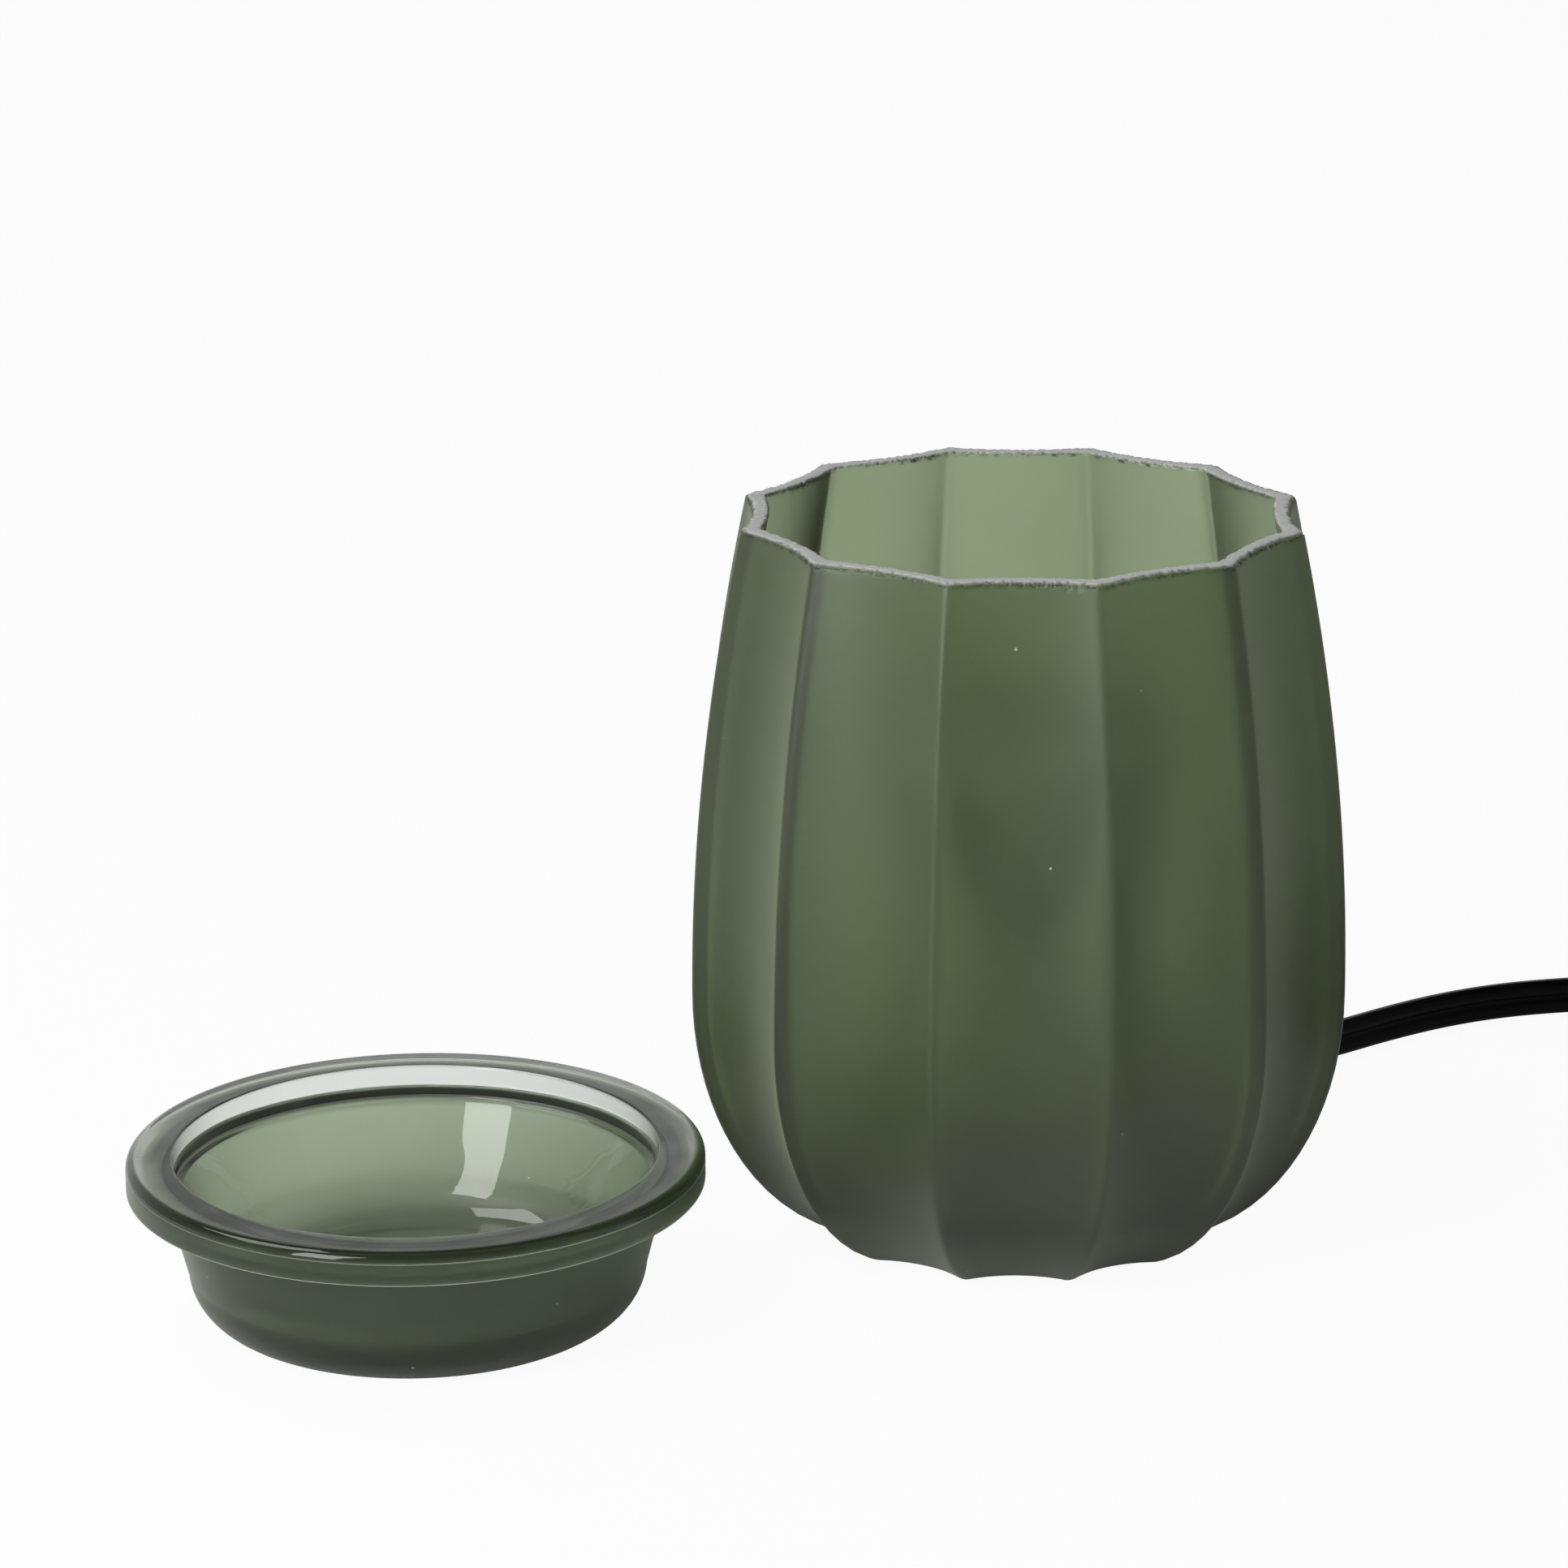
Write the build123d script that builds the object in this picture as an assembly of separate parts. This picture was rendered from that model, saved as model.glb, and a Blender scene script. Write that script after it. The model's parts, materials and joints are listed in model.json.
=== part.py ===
"""Electric wax melt warmer: a fluted satin glass vessel with a lamp inside, and a separate melt dish.

Millimetres, +Z up. The origin is the middle of the vessel's foot, on the table.
The vessel has twelve hollow flutes; their middles lie at 0, 30, 60 ... degrees about Z.
"""
from math import asin, cos, pi, radians, sin, sqrt, tan
import os

from build123d import *

# The vessel
vessel_height = 123.0
belly_radius = 56.0        # over the ridges, at the widest
belly_height = 44.0
rim_radius = 47.2          # over the ridges, at the cut rim
lower_width = 32.2         # how far the lower curve draws in, as half an ellipse's width
foot_cut = 1.5             # how far under the table the lower ellipse would end
flute_count = 12
flute_depth_share = 0.0575  # how far a flute is hollowed, as a share of the ridge radius
rim_depth_share = 0.03     # the same at the rim, where the flutes run out flatter
inside_depth_share = 0.016
ridge_wall = 3.7           # glass behind a ridge
ridge_round = 0.9          # the radius that softens each ridge
corner_round = 1.6         # and each inner corner
floor_height = 11.0        # the flat glass floor inside
floor_corner = 9.0         # the rounding between that floor and the wall
floor_corner_width = 5.5
land_inner_radius = 23.0   # the ring that the vessel stands on
kick_height = 7.0          # the hollow under the foot
kick_radius = 14.0
level_shares = (0, 0.018, 0.045, 0.085, 0.145, 0.22, 0.31, 0.43, 0.57, 0.72, 0.86, 1)

# The pipe that holds the lamp holder's bracket to the glass floor
pipe_radius = 4.9
pipe_bore_radius = 3.6
pipe_clearance = 0.4       # of the holes in glass, rubber and steel
thread_clearance = 0.05
pipe_end = 1.5             # what shows of the thread past a nut
nut_across_flats = 14.0
nut_thickness = 3.0
rubber_thickness = 1.5
rubber_radius = 10.5
washer_thickness = 1.0
washer_radius = 9.5
lock_washer_thickness = 0.8
lock_washer_radius = 8.3
lock_tooth_depth = 1.0
lock_tooth_count = 10

# The lamp holder: a ceramic block on a bent steel bracket
steel = 1.2
bracket_width = 13.0
bracket_rise = 9.0         # from the glass floor's washer to the top of the bracket's tabs
bracket_reach = 15.2       # half its length, outside the legs
tab_length = 6.2
bend_radius = 1.6
holder_length = 32.0
holder_width = 18.0
holder_height = 16.0
holder_skin = 4.7          # the ceramic over the contact chamber
chamber_length = 18.4
chamber_width = 12.4
cover_thickness = 2.5
screw_spacing = 24.0
screw_radius = 1.5
screw_clearance = 0.15
screw_head_radius = 2.7
screw_head_height = 1.9
screw_head_round = 0.6
screw_slot_width = 0.8
screw_slot_depth = 0.9
screw_recess = 2.4
screw_end = 1.0            # what shows of a screw under the bracket
holder_edge = 0.6
contact_thickness = 0.5
contact_width = 5.0
contact_leaf = 6.4
contact_gap = 0.05

# The lamp, with two headed pins that turn and lock in the holder
lamp_clearance = 0.3
pin_spacing = 10.0
pin_radius = 1.5
pin_head_radius = 2.5
pin_length = 7.0
pin_head_height = 2.0
keyhole_clearance = 0.25
twist_angle = 30.0
lamp_base_length = 27.0
lamp_base_width = 17.0
lamp_base_height = 7.0
lamp_base_edge = 1.2
collar_radius = 12.6
collar_height = 4.5
pocket_depth = 2.25        # of the bowl's neck and the bulb's stem in the collar
neck_radius = 10.6
lamp_radius = 25.0
lamp_height = 47.0         # from the holder's top to the front of the lamp
reflector_wall = 1.2
bowl_shares = ((0, 0), (0.12, 0.02), (0.3, 0.42), (0.6, 0.78), (1, 1))  # up, and out
lens_thickness = 2.0
lens_edge = 0.6
lens_inset = 0.8           # its face under the rim
lens_clearance = 0.05
rim_lip = 1.6
capsule_radius = 4.6
capsule_height = 17.0
capsule_tip = 3.6
capsule_shoulder = 1.4
stem_radius = 2.6
stem_length = 4.5

# The mains lead: two cores side by side, standing on its narrow edge
cord_width = 6.4
cord_thickness = 3.1
table_clearance = 0.05
core_radius = 1.3
lead_radius = 1.0
wire_clearance = 0.15

# The rubber bushing where the lead leaves the glass, square to the wall
bushing_flute = 2          # how many flutes from +X, so at 60 degrees
hole_height = 17.5
bushing_tilt = 24.0        # how far it points down
bushing_neck_radius = 4.5
bushing_hole_clearance = 0.05
bushing_flange_radius = 6.6
bushing_flange = 2.2
bushing_inside = 4.3
bushing_length = 17.0      # outside the glass
tail_start_radius = 5.2
tail_end_radius = 4.2
tail_groove_count = 4
tail_groove_depth = 0.7

# The crimp caps that join the cores to the holder's leads, lying on the glass floor
cap_radius = 3.4
cap_wall = 0.6
cap_length = 18.0
cap_edge = 1.1
cap_mouth = 3.0            # how far past the vessel's middle the mouths lie
cap_first = 18.0
cap_pitch = 8.0
cap_wire_depth = 7.0
lead_level = 6.0           # the leads' holes over the cover of the lamp holder
lead_spacing = 9.0
lead_columns = (11.0, 9.0)  # where the two leads come down, along X
lead_turn = 11.2           # how far the second lead runs out before it turns
lead_drop = 4.8            # how far each has come down over its column
lead_bend = 2.6
core_run = 3.9             # straight out of the bushing
core_columns = (17.0, 15.0)
core_side = 3.2
core_drop = 1.95
core_bends = (3.1, 2.6)

# The melt dish, standing on the table beside the vessel
dish_x = -97.75
dish_y = -44.3
dish_height = 27.65
flange_radius = 46.95
flange_thickness = 5.45
flange_edge = 1.1
dish_neck_radius = 40.9    # outside, just under the flange
dish_base_radius = 28.6
dish_heel_radius = 37.35
dish_heel_height = 8.4
heel_radius_share = 0.73  # of the heel's chord
dish_mouth_radius = 39.4   # inside, at the top
mouth_edge = 0.5
dish_step_radius = 39.1    # inside, at the ledge under the mouth
dish_step_depth = 5.6
dish_step_width = 0.9
dish_step_drop = 0.3
dish_wall = 3.4
dish_floor = 4.0

# The switch in the lead
switch_x = 216.0
switch_y = 32.0
switch_length = 60.0
switch_width = 23.0
switch_height = 14.5
switch_end_height = 9.8
switch_flat_length = 34.0
switch_corner = 8.6
switch_wall = 1.8
switch_split = 7.2
switch_cavity_length = 46.0
switch_edge = 1.0
port_level = 5.6
port_depth = 3.0
port_clearance = 0.1
rocker_radius = 10.6       # its rounded ends turn about the pivot
rocker_gap = 0.3
rocker_width = 11.2
rocker_angle = 10.0
rocker_middle = 1.8
rocker_skirt = 2.6
rocker_drop = 2.0          # the pivot under the switch's top
pivot_radius = 1.4
pivot_clearance = 0.05
pivot_length = 1.5
frame_wall = 1.9
frame_depth = 5.5
stem_thickness = 2.4
stem_depth = 7.6
stem_width = 6.0
blade_length = 15.0
blade_width = 4.0
blade_thickness = 0.5
pad_length = 4.5
pad_width = 5.0
pad_thickness = 0.6
pad_spacing = 13.0
boss_spacing = 38.0
boss_radius = 2.6
tapping_radius = 1.1
tapping_head_radius = 2.2
tapping_head_height = 1.3
tapping_slot_width = 0.6
tapping_slot_depth = 0.6
tapping_length = 9.5

# The plug, a moulded body with two flat blades
plug_x = 139.0            # where the lead enters its tail
plug_y = 45.0
plug_heading = 58.0
plug_width = 21.0
plug_thickness = 13.6
plug_length = 30.0
plug_waist_width = 16.5
plug_back_width = 15.0
plug_back_thickness = 11.0
plug_edge = 0.8
plug_tail_length = 14.0
plug_tail_width = 8.0
plug_tail_height = 9.4
plug_tail_end_width = 5.6
plug_tail_end_height = 8.6
plug_rib_count = 4
plug_rib_depth = 0.7
plug_tail_corner = 1.8
blade_spacing = 12.7
plug_blade_length = 17.0
plug_blade_thickness = 1.5
plug_blade_heights = (6.3, 7.9)
blade_hole_radius = 1.5
blade_hole_inset = 4.0
blade_tip = 1.2
blade_root = 6.0
blade_clearance = 0.05

# The put-away coil of the lead
coil_x = 157.0
coil_y = -9.0
coil_outer_radius = 39.4
coil_turns = 6.3056
coil_pitch = 3.75
coil_layer = 6.9
coil_start_angle = -90.0
tie_angle = 35.0
tie_thickness = 0.8
tie_width = 7.0
tie_clearance = 0.15
tie_corner = 2.5

# Straight runs at the stretches' ends, and the points between them, chosen by hand along the centreline
exit_run = 11.4
switch_run = 18.8
arc_share = 0.45           # of the shorter run, taken up by each arc
TO_SWITCH = [(53.5, 75.0, 3.3), (73.3, 92.2, 3.25), (89.0, 101.6, 3.25), (105.0, 106.2, 3.25),
             (126.0, 108.9, 3.25), (146.0, 110.2, 3.25), (165.0, 110.3, 3.25), (184.0, 109.2, 3.25),
             (198.7, 103.4, 3.25), (209.9, 92.4, 4.0)]
TO_COIL = [(204.8, -34.0, 3.6), (186.5, -45.4, 3.6)]

# Fine limits for cutting tools
overrun = 1.0


def wheel(radius, start, thickness):
    """A disc on the Z axis whose lower face is at start."""
    return Pos(0, 0, start) * extrude(Circle(radius), thickness)


def ring(outer, inner, start, thickness):
    return wheel(outer, start, thickness) - wheel(inner, start - overrun, thickness + 2 * overrun)


def block(length, width, start, height):
    """A box centred on the Z axis whose lower face is at start."""
    return Pos(0, 0, start) * extrude(Rectangle(length, width), height)


def write(name, shape):
    export_step(shape, f"parts/{name}.step")
    print(f"{name}: {len(shape.solids())} solids, {shape.volume:.0f} cubic mm")


# The vessel's sections: a ridge at each corner and a hollow arc between them
def ridge_radius(height):
    """The radius over the ridges: a lower quarter ellipse, then a slow parabola up to the rim."""
    if height < belly_height:
        drop = (belly_height - height) / (belly_height + foot_cut)
        return belly_radius - lower_width * (1 - sqrt(1 - drop**2))
    rise = (height - belly_height) / (vessel_height - belly_height)
    return belly_radius - (belly_radius - rim_radius) * rise**2


def inner_radius(height):
    """The same inside, drawn in where the wall rounds into the floor."""
    above = min(height - floor_height, floor_corner) / floor_corner
    drawn_in = floor_corner_width * (1 - sqrt(1 - (1 - above) ** 2))
    return ridge_radius(height) - ridge_wall - drawn_in


def flute_share(height):
    """How far the flutes are hollowed here: less and less above the belly."""
    rise = max(height - belly_height, 0) / (vessel_height - belly_height)
    return flute_depth_share - (flute_depth_share - rim_depth_share) * rise**2


def middle_radius(ridge, depth_share):
    """The radius in the middle of a flute whose ridges have this radius."""
    return ridge * (cos(pi / flute_count) - depth_share)


def fluted_section(ridge, depth_share, height, softness):
    """Hollow arcs joined by a small round at each ridge, whose crown keeps the ridge's radius."""
    half = pi / flute_count
    middle = middle_radius(ridge, depth_share)
    hollow = ridge * cos(half) - middle
    arc_radius = (hollow**2 + (ridge * sin(half)) ** 2) / (2 * hollow)
    turn = half + asin(ridge * sin(half) / arc_radius)
    tangent = softness * tan(turn)
    edge = ridge + tangent * (tan(turn / 2) - sin(turn))
    aside = tangent * cos(turn) / edge

    def at(radius, angle):
        return radius * cos(angle), radius * sin(angle), height

    arcs = []
    for k in range(flute_count):
        a, b = 2 * half * k, 2 * half * (k + 1)
        start, end, onward = at(edge, a - half + aside), at(edge, a + half - aside), at(edge, b - half + aside)
        arcs.append(ThreePointArc(start, at(middle, a), end))
        arcs.append(ThreePointArc(end, at(ridge, a + half), onward))
    return make_face(arcs)


def glass_vessel():
    levels = [s * vessel_height for s in level_shares]
    outer = loft([fluted_section(ridge_radius(h), flute_share(h), h, ridge_round) for h in levels])
    inside_height = vessel_height - floor_height
    levels = [floor_height + s * inside_height for s in level_shares]
    inner = loft([fluted_section(inner_radius(h), inside_depth_share, h, corner_round) for h in levels])
    kick = [Line((0, 0), (land_inner_radius, 0)),
            RadiusArc((land_inner_radius, 0), (kick_radius, kick_height), -kick_radius),
            Line((kick_radius, kick_height), (0, kick_height)), Line((0, kick_height), (0, 0))]
    vessel = outer - inner - revolve(Plane.XZ * make_face(kick), Axis.Z)
    vessel -= wheel(pipe_radius + pipe_clearance, 0, floor_height + overrun)
    drill = extrude(Circle(bushing_neck_radius + bushing_hole_clearance), bushing_length, both=True)
    return vessel - bushing_place * drill


# Where the lead leaves: in the middle of a flute, square to the glass
bushing_angle = radians(360 / flute_count * bushing_flute)
hole_radius = middle_radius(ridge_radius(hole_height), flute_share(hole_height))
down = radians(bushing_tilt)
outward = Vector(cos(bushing_angle) * cos(down), sin(bushing_angle) * cos(down), -sin(down))
hole_centre = Vector(hole_radius * cos(bushing_angle), hole_radius * sin(bushing_angle), hole_height)
upward = Vector(cos(bushing_angle) * sin(down), sin(bushing_angle) * sin(down), cos(down))
bushing_place = Plane(origin=hole_centre, x_dir=upward, z_dir=outward).location
tail_end = hole_centre + outward * bushing_length


def cord_bushing(vessel):
    """A rubber bushing moulded on the lead: two flanges hold the glass, and a grooved tail tapers off."""
    taper = (tail_start_radius - tail_end_radius) / (bushing_length - bushing_flange)
    points = [(0, -bushing_inside), (bushing_flange_radius, -bushing_inside), (bushing_flange_radius, 0),
              (bushing_flange_radius, bushing_flange), (tail_start_radius, bushing_flange)]
    step = (bushing_length - bushing_flange) / (2 * tail_groove_count + 1)
    for k in range(1, 2 * tail_groove_count + 1):
        along = bushing_flange + k * step
        radius = tail_start_radius - taper * k * step
        pair = [(radius, along), (radius - tail_groove_depth, along)]
        points += pair if k % 2 else pair[::-1]
    points += [(tail_end_radius, bushing_length), (0, bushing_length)]
    body = revolve(Plane.XZ * make_face(Polyline(points, close=True)), Axis.Z)
    neck = ring(bushing_flange_radius + overrun, bushing_neck_radius, -floor_corner, 2 * floor_corner)
    glass = neck & bushing_place.inverse() * vessel
    return bushing_place * (body - glass)


# The stack on the pipe, from the lower nut up
rubber_low = kick_height - rubber_thickness
washer_low = rubber_low - washer_thickness
nut_low = washer_low - nut_thickness
bracket_low = floor_height + rubber_thickness
lock_low = bracket_low + steel
nut_high = lock_low + lock_washer_thickness
tab_top = bracket_low + bracket_rise
cover_top = tab_top + cover_thickness
holder_top = cover_top + holder_height
hole_in_stack = pipe_radius + pipe_clearance


def hex_nut(start):
    side = nut_across_flats / sqrt(3)
    nut = Pos(0, 0, start) * extrude(RegularPolygon(side, 6), nut_thickness)
    return nut - wheel(pipe_radius + thread_clearance, start - overrun, nut_thickness + 2 * overrun)


def threaded_pipe():
    low = nut_low - min(pipe_end, nut_low / 2)
    top = nut_high + nut_thickness + pipe_end
    return ring(pipe_radius, pipe_bore_radius, low, top - low)


def lock_washer():
    body = ring(lock_washer_radius, hole_in_stack, lock_low, lock_washer_thickness)
    notch = block(lock_tooth_depth * 2, lock_tooth_depth, lock_low - overrun, lock_washer_thickness + 2 * overrun)
    for place in PolarLocations(lock_washer_radius, lock_tooth_count):
        body -= place * notch
    return body


def holder_bracket():
    """One bent strip: a foot on the glass, two legs, and two tabs turned in under the ceramic."""
    inner, top, low = bracket_reach - steel, tab_top, bracket_low
    strip = Rectangle(2 * bracket_reach, top - low, align=(Align.CENTER, Align.MIN))
    hollow = Pos(0, steel) * Rectangle(2 * inner, top - low - 2 * steel, align=(Align.CENTER, Align.MIN))
    mouth = Rectangle(2 * (bracket_reach - tab_length), 2 * steel)
    outline = fillet(strip.vertices(), bend_radius) - hollow - Pos(0, top - low) * mouth
    bracket = Pos(0, bracket_width / 2, low) * extrude(Plane.XZ * outline, bracket_width)
    bracket -= wheel(hole_in_stack, low - overrun, steel + 2 * overrun)
    for side in (-1, 1):
        hole = wheel(screw_radius + thread_clearance, top - 2 * steel, 2 * steel + overrun)
        bracket -= Pos(side * screw_spacing / 2, 0) * hole
    return bracket


def oval(length, width, start, height):
    return Pos(0, 0, start) * extrude(SlotOverall(length, width), height)


def holder_cover():
    cover = oval(holder_length, holder_width, tab_top, cover_thickness)
    for side in (-1, 1):
        hole = wheel(screw_radius + screw_clearance, tab_top - overrun, cover_thickness + 2 * overrun)
        cover -= Pos(side * screw_spacing / 2, 0) * hole
    return cover


def keyhole():
    """One slot of the holder: a wide end for the pin's head and a narrow arc for its shank."""
    reach = pin_spacing / 2
    narrow = pin_radius + keyhole_clearance
    depth = holder_skin + 2 * overrun
    low = holder_top - holder_skin - overrun
    wide = Rot(0, 0, twist_angle) * Pos(reach, 0) * wheel(pin_head_radius + keyhole_clearance, low, depth)
    return Pos(0, 0, low) * extrude(slot_arc(reach, narrow), depth) + wide


def slot_arc(reach, half_width):
    """A curved slot about the Z axis, from the locked place of the pin to the open one."""
    sector = [Line((0, 0), (reach * 2, 0)),
              Line((reach * 2, 0), (reach * 2, reach * 2 * tan(radians(twist_angle)))),
              Line((reach * 2, reach * 2 * tan(radians(twist_angle))), (0, 0))]
    band = (Circle(reach + half_width) - Circle(reach - half_width)) & make_face(sector)
    return band + Pos(reach, 0) * Circle(half_width)


def holder_body():
    body = oval(holder_length, holder_width, cover_top, holder_height)
    body = fillet(body.edges().group_by(Axis.Z)[-1], holder_edge)
    body -= block(chamber_length, chamber_width, cover_top - overrun, holder_height - holder_skin + overrun)
    for side in (-1, 1):
        body -= Rot(0, 0, 90 - 90 * side) * keyhole()
        bore = wheel(screw_radius + screw_clearance, cover_top - overrun, holder_height + 2 * overrun)
        recess = wheel(screw_head_radius + screw_clearance, holder_top - screw_recess, screw_recess + overrun)
        body -= Pos(side * screw_spacing / 2, 0) * (bore + recess)
        hole = Plane.XZ * Circle(lead_radius + wire_clearance)
        lead_hole = Pos(side * lead_spacing / 2, 0, cover_top + lead_level) * extrude(hole, -holder_width)
        body -= lead_hole
    return body


def holder_contacts():
    """A bent brass leaf under each pin head, standing on the cover."""
    under_head = holder_top - pin_length - contact_gap
    reach = chamber_length / 2 - contact_gap
    low = cover_top
    outline = [(reach, low), (reach, under_head), (reach - contact_leaf, under_head),
               (reach - contact_leaf, under_head - contact_thickness),
               (reach - contact_thickness, under_head - contact_thickness),
               (reach - contact_thickness, low + contact_thickness),
               (reach - contact_leaf / 2, low + contact_thickness), (reach - contact_leaf / 2, low)]
    face = Plane.XZ * make_face(Polyline(outline, close=True))
    leaf = Pos(0, contact_width / 2) * extrude(face, contact_width)
    return [leaf, Rot(0, 0, 180) * leaf]


def holder_screws():
    top = holder_top - (screw_recess - screw_head_height)
    low = tab_top - steel - screw_end
    screw = wheel(screw_head_radius, top - screw_head_height, screw_head_height)
    screw = fillet(screw.edges().group_by(Axis.Z)[-1], screw_head_round)
    screw += wheel(screw_radius, low, top - screw_head_height - low)
    slot = block(3 * screw_head_radius, screw_slot_width, top - screw_slot_depth, 2 * screw_slot_depth)
    screw -= slot
    return [Pos(side * screw_spacing / 2, 0) * screw for side in (-1, 1)]


# The lamp's levels, from the holder's top
base_low = holder_top + lamp_clearance
collar_low = base_low + lamp_base_height
neck_low = collar_low + collar_height
lamp_top = holder_top + lamp_height
lens_low = lamp_top - lens_inset - lens_thickness
pocket_low = neck_low - pocket_depth


def lamp_base():
    base = oval(lamp_base_length, lamp_base_width, base_low, lamp_base_height)
    base = fillet(base.edges().group_by(Axis.Z)[0], lamp_base_edge)
    base += wheel(collar_radius, collar_low, collar_height)
    return base - wheel(neck_radius + lens_clearance, pocket_low, pocket_depth + overrun)


def reflector_curve(shrink, top):
    """The bowl from neck to rim, as points for a smooth curve."""
    mouth, neck = lamp_radius - rim_lip - shrink, neck_radius - shrink
    tall = top - pocket_low
    return [(neck + out * (mouth - neck), pocket_low + up * tall) for up, out in bowl_shares]


def lamp_reflector():
    """A pressed glass bowl with a turned-out rim that holds the front glass."""
    outer = reflector_curve(0, lens_low - reflector_wall)
    inner = reflector_curve(reflector_wall, lens_low)
    rim = lamp_radius
    seat = rim - rim_lip
    outline = [Spline(outer), Line(outer[-1], (rim, outer[-1][1])), Line((rim, outer[-1][1]), (rim, lamp_top)),
               Line((rim, lamp_top), (seat, lamp_top)), Line((seat, lamp_top), (seat, lens_low)),
               Line((seat, lens_low), inner[-1]), Spline(inner[::-1]), Line(inner[0], outer[0])]
    return revolve(Plane.XZ * make_face(outline), Axis.Z)


def lamp_front_glass():
    radius = lamp_radius - rim_lip - lens_clearance
    glass = wheel(radius, lens_low, lens_thickness)
    return fillet(glass.edges().group_by(Axis.Z)[-1], lens_edge)


def lamp_capsule():
    """The small bulb: a flat stem in the base, a round body and a sealed tip."""
    stem = wheel(stem_radius, pocket_low, stem_length + capsule_radius)
    body = wheel(capsule_radius, pocket_low + stem_length, capsule_height)
    body = fillet(body.edges().group_by(Axis.Z)[-1], capsule_tip)
    body = fillet(body.edges().group_by(Axis.Z)[0], capsule_shoulder)
    return stem + body


def lamp_pins():
    shank = wheel(pin_radius, holder_top - pin_length, pin_length + lamp_clearance)
    head = wheel(pin_head_radius, holder_top - pin_length, pin_head_height)
    return [Pos(side * pin_spacing / 2, 0) * (shank + head) for side in (-1, 1)]


# The inner wiring
cap_level = floor_height + cap_radius
cap_rows = (cap_first, cap_first + cap_pitch)
core_offset = cap_radius - cap_wall - core_radius - wire_clearance / 2
lead_offset = cap_radius - cap_wall - lead_radius - wire_clearance


def crimp_caps():
    shell = wheel(cap_radius, 0, cap_length)
    shell = fillet(shell.edges().group_by(Axis.Z)[-1], cap_edge)
    shell -= wheel(cap_radius - cap_wall, -overrun, cap_length - cap_radius + overrun)
    return [Pos(cap_mouth, row, cap_level) * Rot(0, -90, 0) * shell for row in cap_rows]


def bent_wire(points, radius, bends):
    """A round wire along straight runs joined by arcs."""
    path = FilletPolyline(*points, radius=bends)
    start, heading = path @ 0, path % 0
    return sweep(Plane(origin=start, z_dir=heading) * Circle(radius), path)


def holder_leads():
    """The two sleeved leads, out of the holder's side and over into the crimp caps."""
    exit_level = cover_top + lead_level
    face = holder_width / 2
    inside = chamber_width / 2 + wire_clearance
    level = cap_level + lead_offset
    end = cap_mouth - cap_wire_depth
    first, second = cap_rows
    near, far = lead_columns
    half = lead_spacing / 2
    drop = exit_level - lead_drop
    right = [(half, inside, exit_level), (half, first - 2 * lead_radius, exit_level), (near, first, drop),
             (near, first, level), (end, first, level)]
    left = [(-half, inside, exit_level), (-half, face + lead_turn, exit_level),
            (far, second, drop), (far, second, level), (end, second, level)]
    return [bent_wire(line, lead_radius, lead_bend) for line in (right, left)]


def cord_cores():
    """The lead's two cores, parted inside the bushing and led down into the caps."""
    inside = hole_centre - outward * bushing_inside
    half = cord_width / 4
    run = outward * core_run
    level = cap_level - core_offset
    end = cap_mouth - cap_wire_depth
    first, second = cap_rows
    outer, inner = core_columns
    high = [inside + upward * half, inside + upward * half - run]
    high += [Vector(outer, first + core_side, high[1].Z - core_drop), Vector(inner, first, level),
             Vector(end, first, level)]
    low = [inside - upward * half, inside - upward * half - run, Vector(inner, second, level),
           Vector(end, second, level)]
    return [bent_wire(points, core_radius, bend) for points, bend in zip((high, low), core_bends)]


def melt_dish():
    """A pressed glass dish: a flat base, a rounded heel, a drawn-in neck and a thick flat flange."""
    seat = dish_height - flange_thickness
    top = dish_height
    heel = (dish_heel_radius, dish_heel_height)
    step_low = top - dish_step_depth
    inner_heel = (dish_heel_radius - dish_wall, dish_floor + dish_heel_height)
    inner_base = (dish_base_radius - dish_wall, dish_floor)
    ledge = (dish_step_radius - dish_step_width, step_low - dish_step_drop)
    edge, low_edge, lip = flange_edge, flange_edge / 2, mouth_edge
    heel_arc = heel_radius_share * sqrt((dish_heel_radius - dish_base_radius) ** 2 + dish_heel_height**2)
    outline = [
        Line((0, 0), (dish_base_radius, 0)),
        RadiusArc((dish_base_radius, 0), heel, -heel_arc),
        Line(heel, (dish_neck_radius, seat)),
        Line((dish_neck_radius, seat), (flange_radius - low_edge, seat)),
        RadiusArc((flange_radius - low_edge, seat), (flange_radius, seat + low_edge), -low_edge),
        Line((flange_radius, seat + low_edge), (flange_radius, top - edge)),
        RadiusArc((flange_radius, top - edge), (flange_radius - edge, top), -edge),
        Line((flange_radius - edge, top), (dish_mouth_radius + lip, top)),
        RadiusArc((dish_mouth_radius + lip, top), (dish_mouth_radius, top - lip), -lip),
        Line((dish_mouth_radius, top - lip), (dish_step_radius, step_low)),
        Line((dish_step_radius, step_low), ledge),
        Line(ledge, inner_heel),
        RadiusArc(inner_heel, inner_base, heel_arc),
        Line(inner_base, (0, dish_floor)), Line((0, dish_floor), (0, 0))]
    return Pos(dish_x, dish_y) * revolve(Plane.XZ * make_face(outline), Axis.Z)


# The switch is made lying along X about its own middle, then turned across
switch_place = Pos(switch_x, switch_y) * Rot(0, 0, 90)
pivot_level = switch_height - rocker_drop
window_length = 2 * (rocker_radius + rocker_gap)
window_width = rocker_width + 2 * rocker_gap


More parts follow.
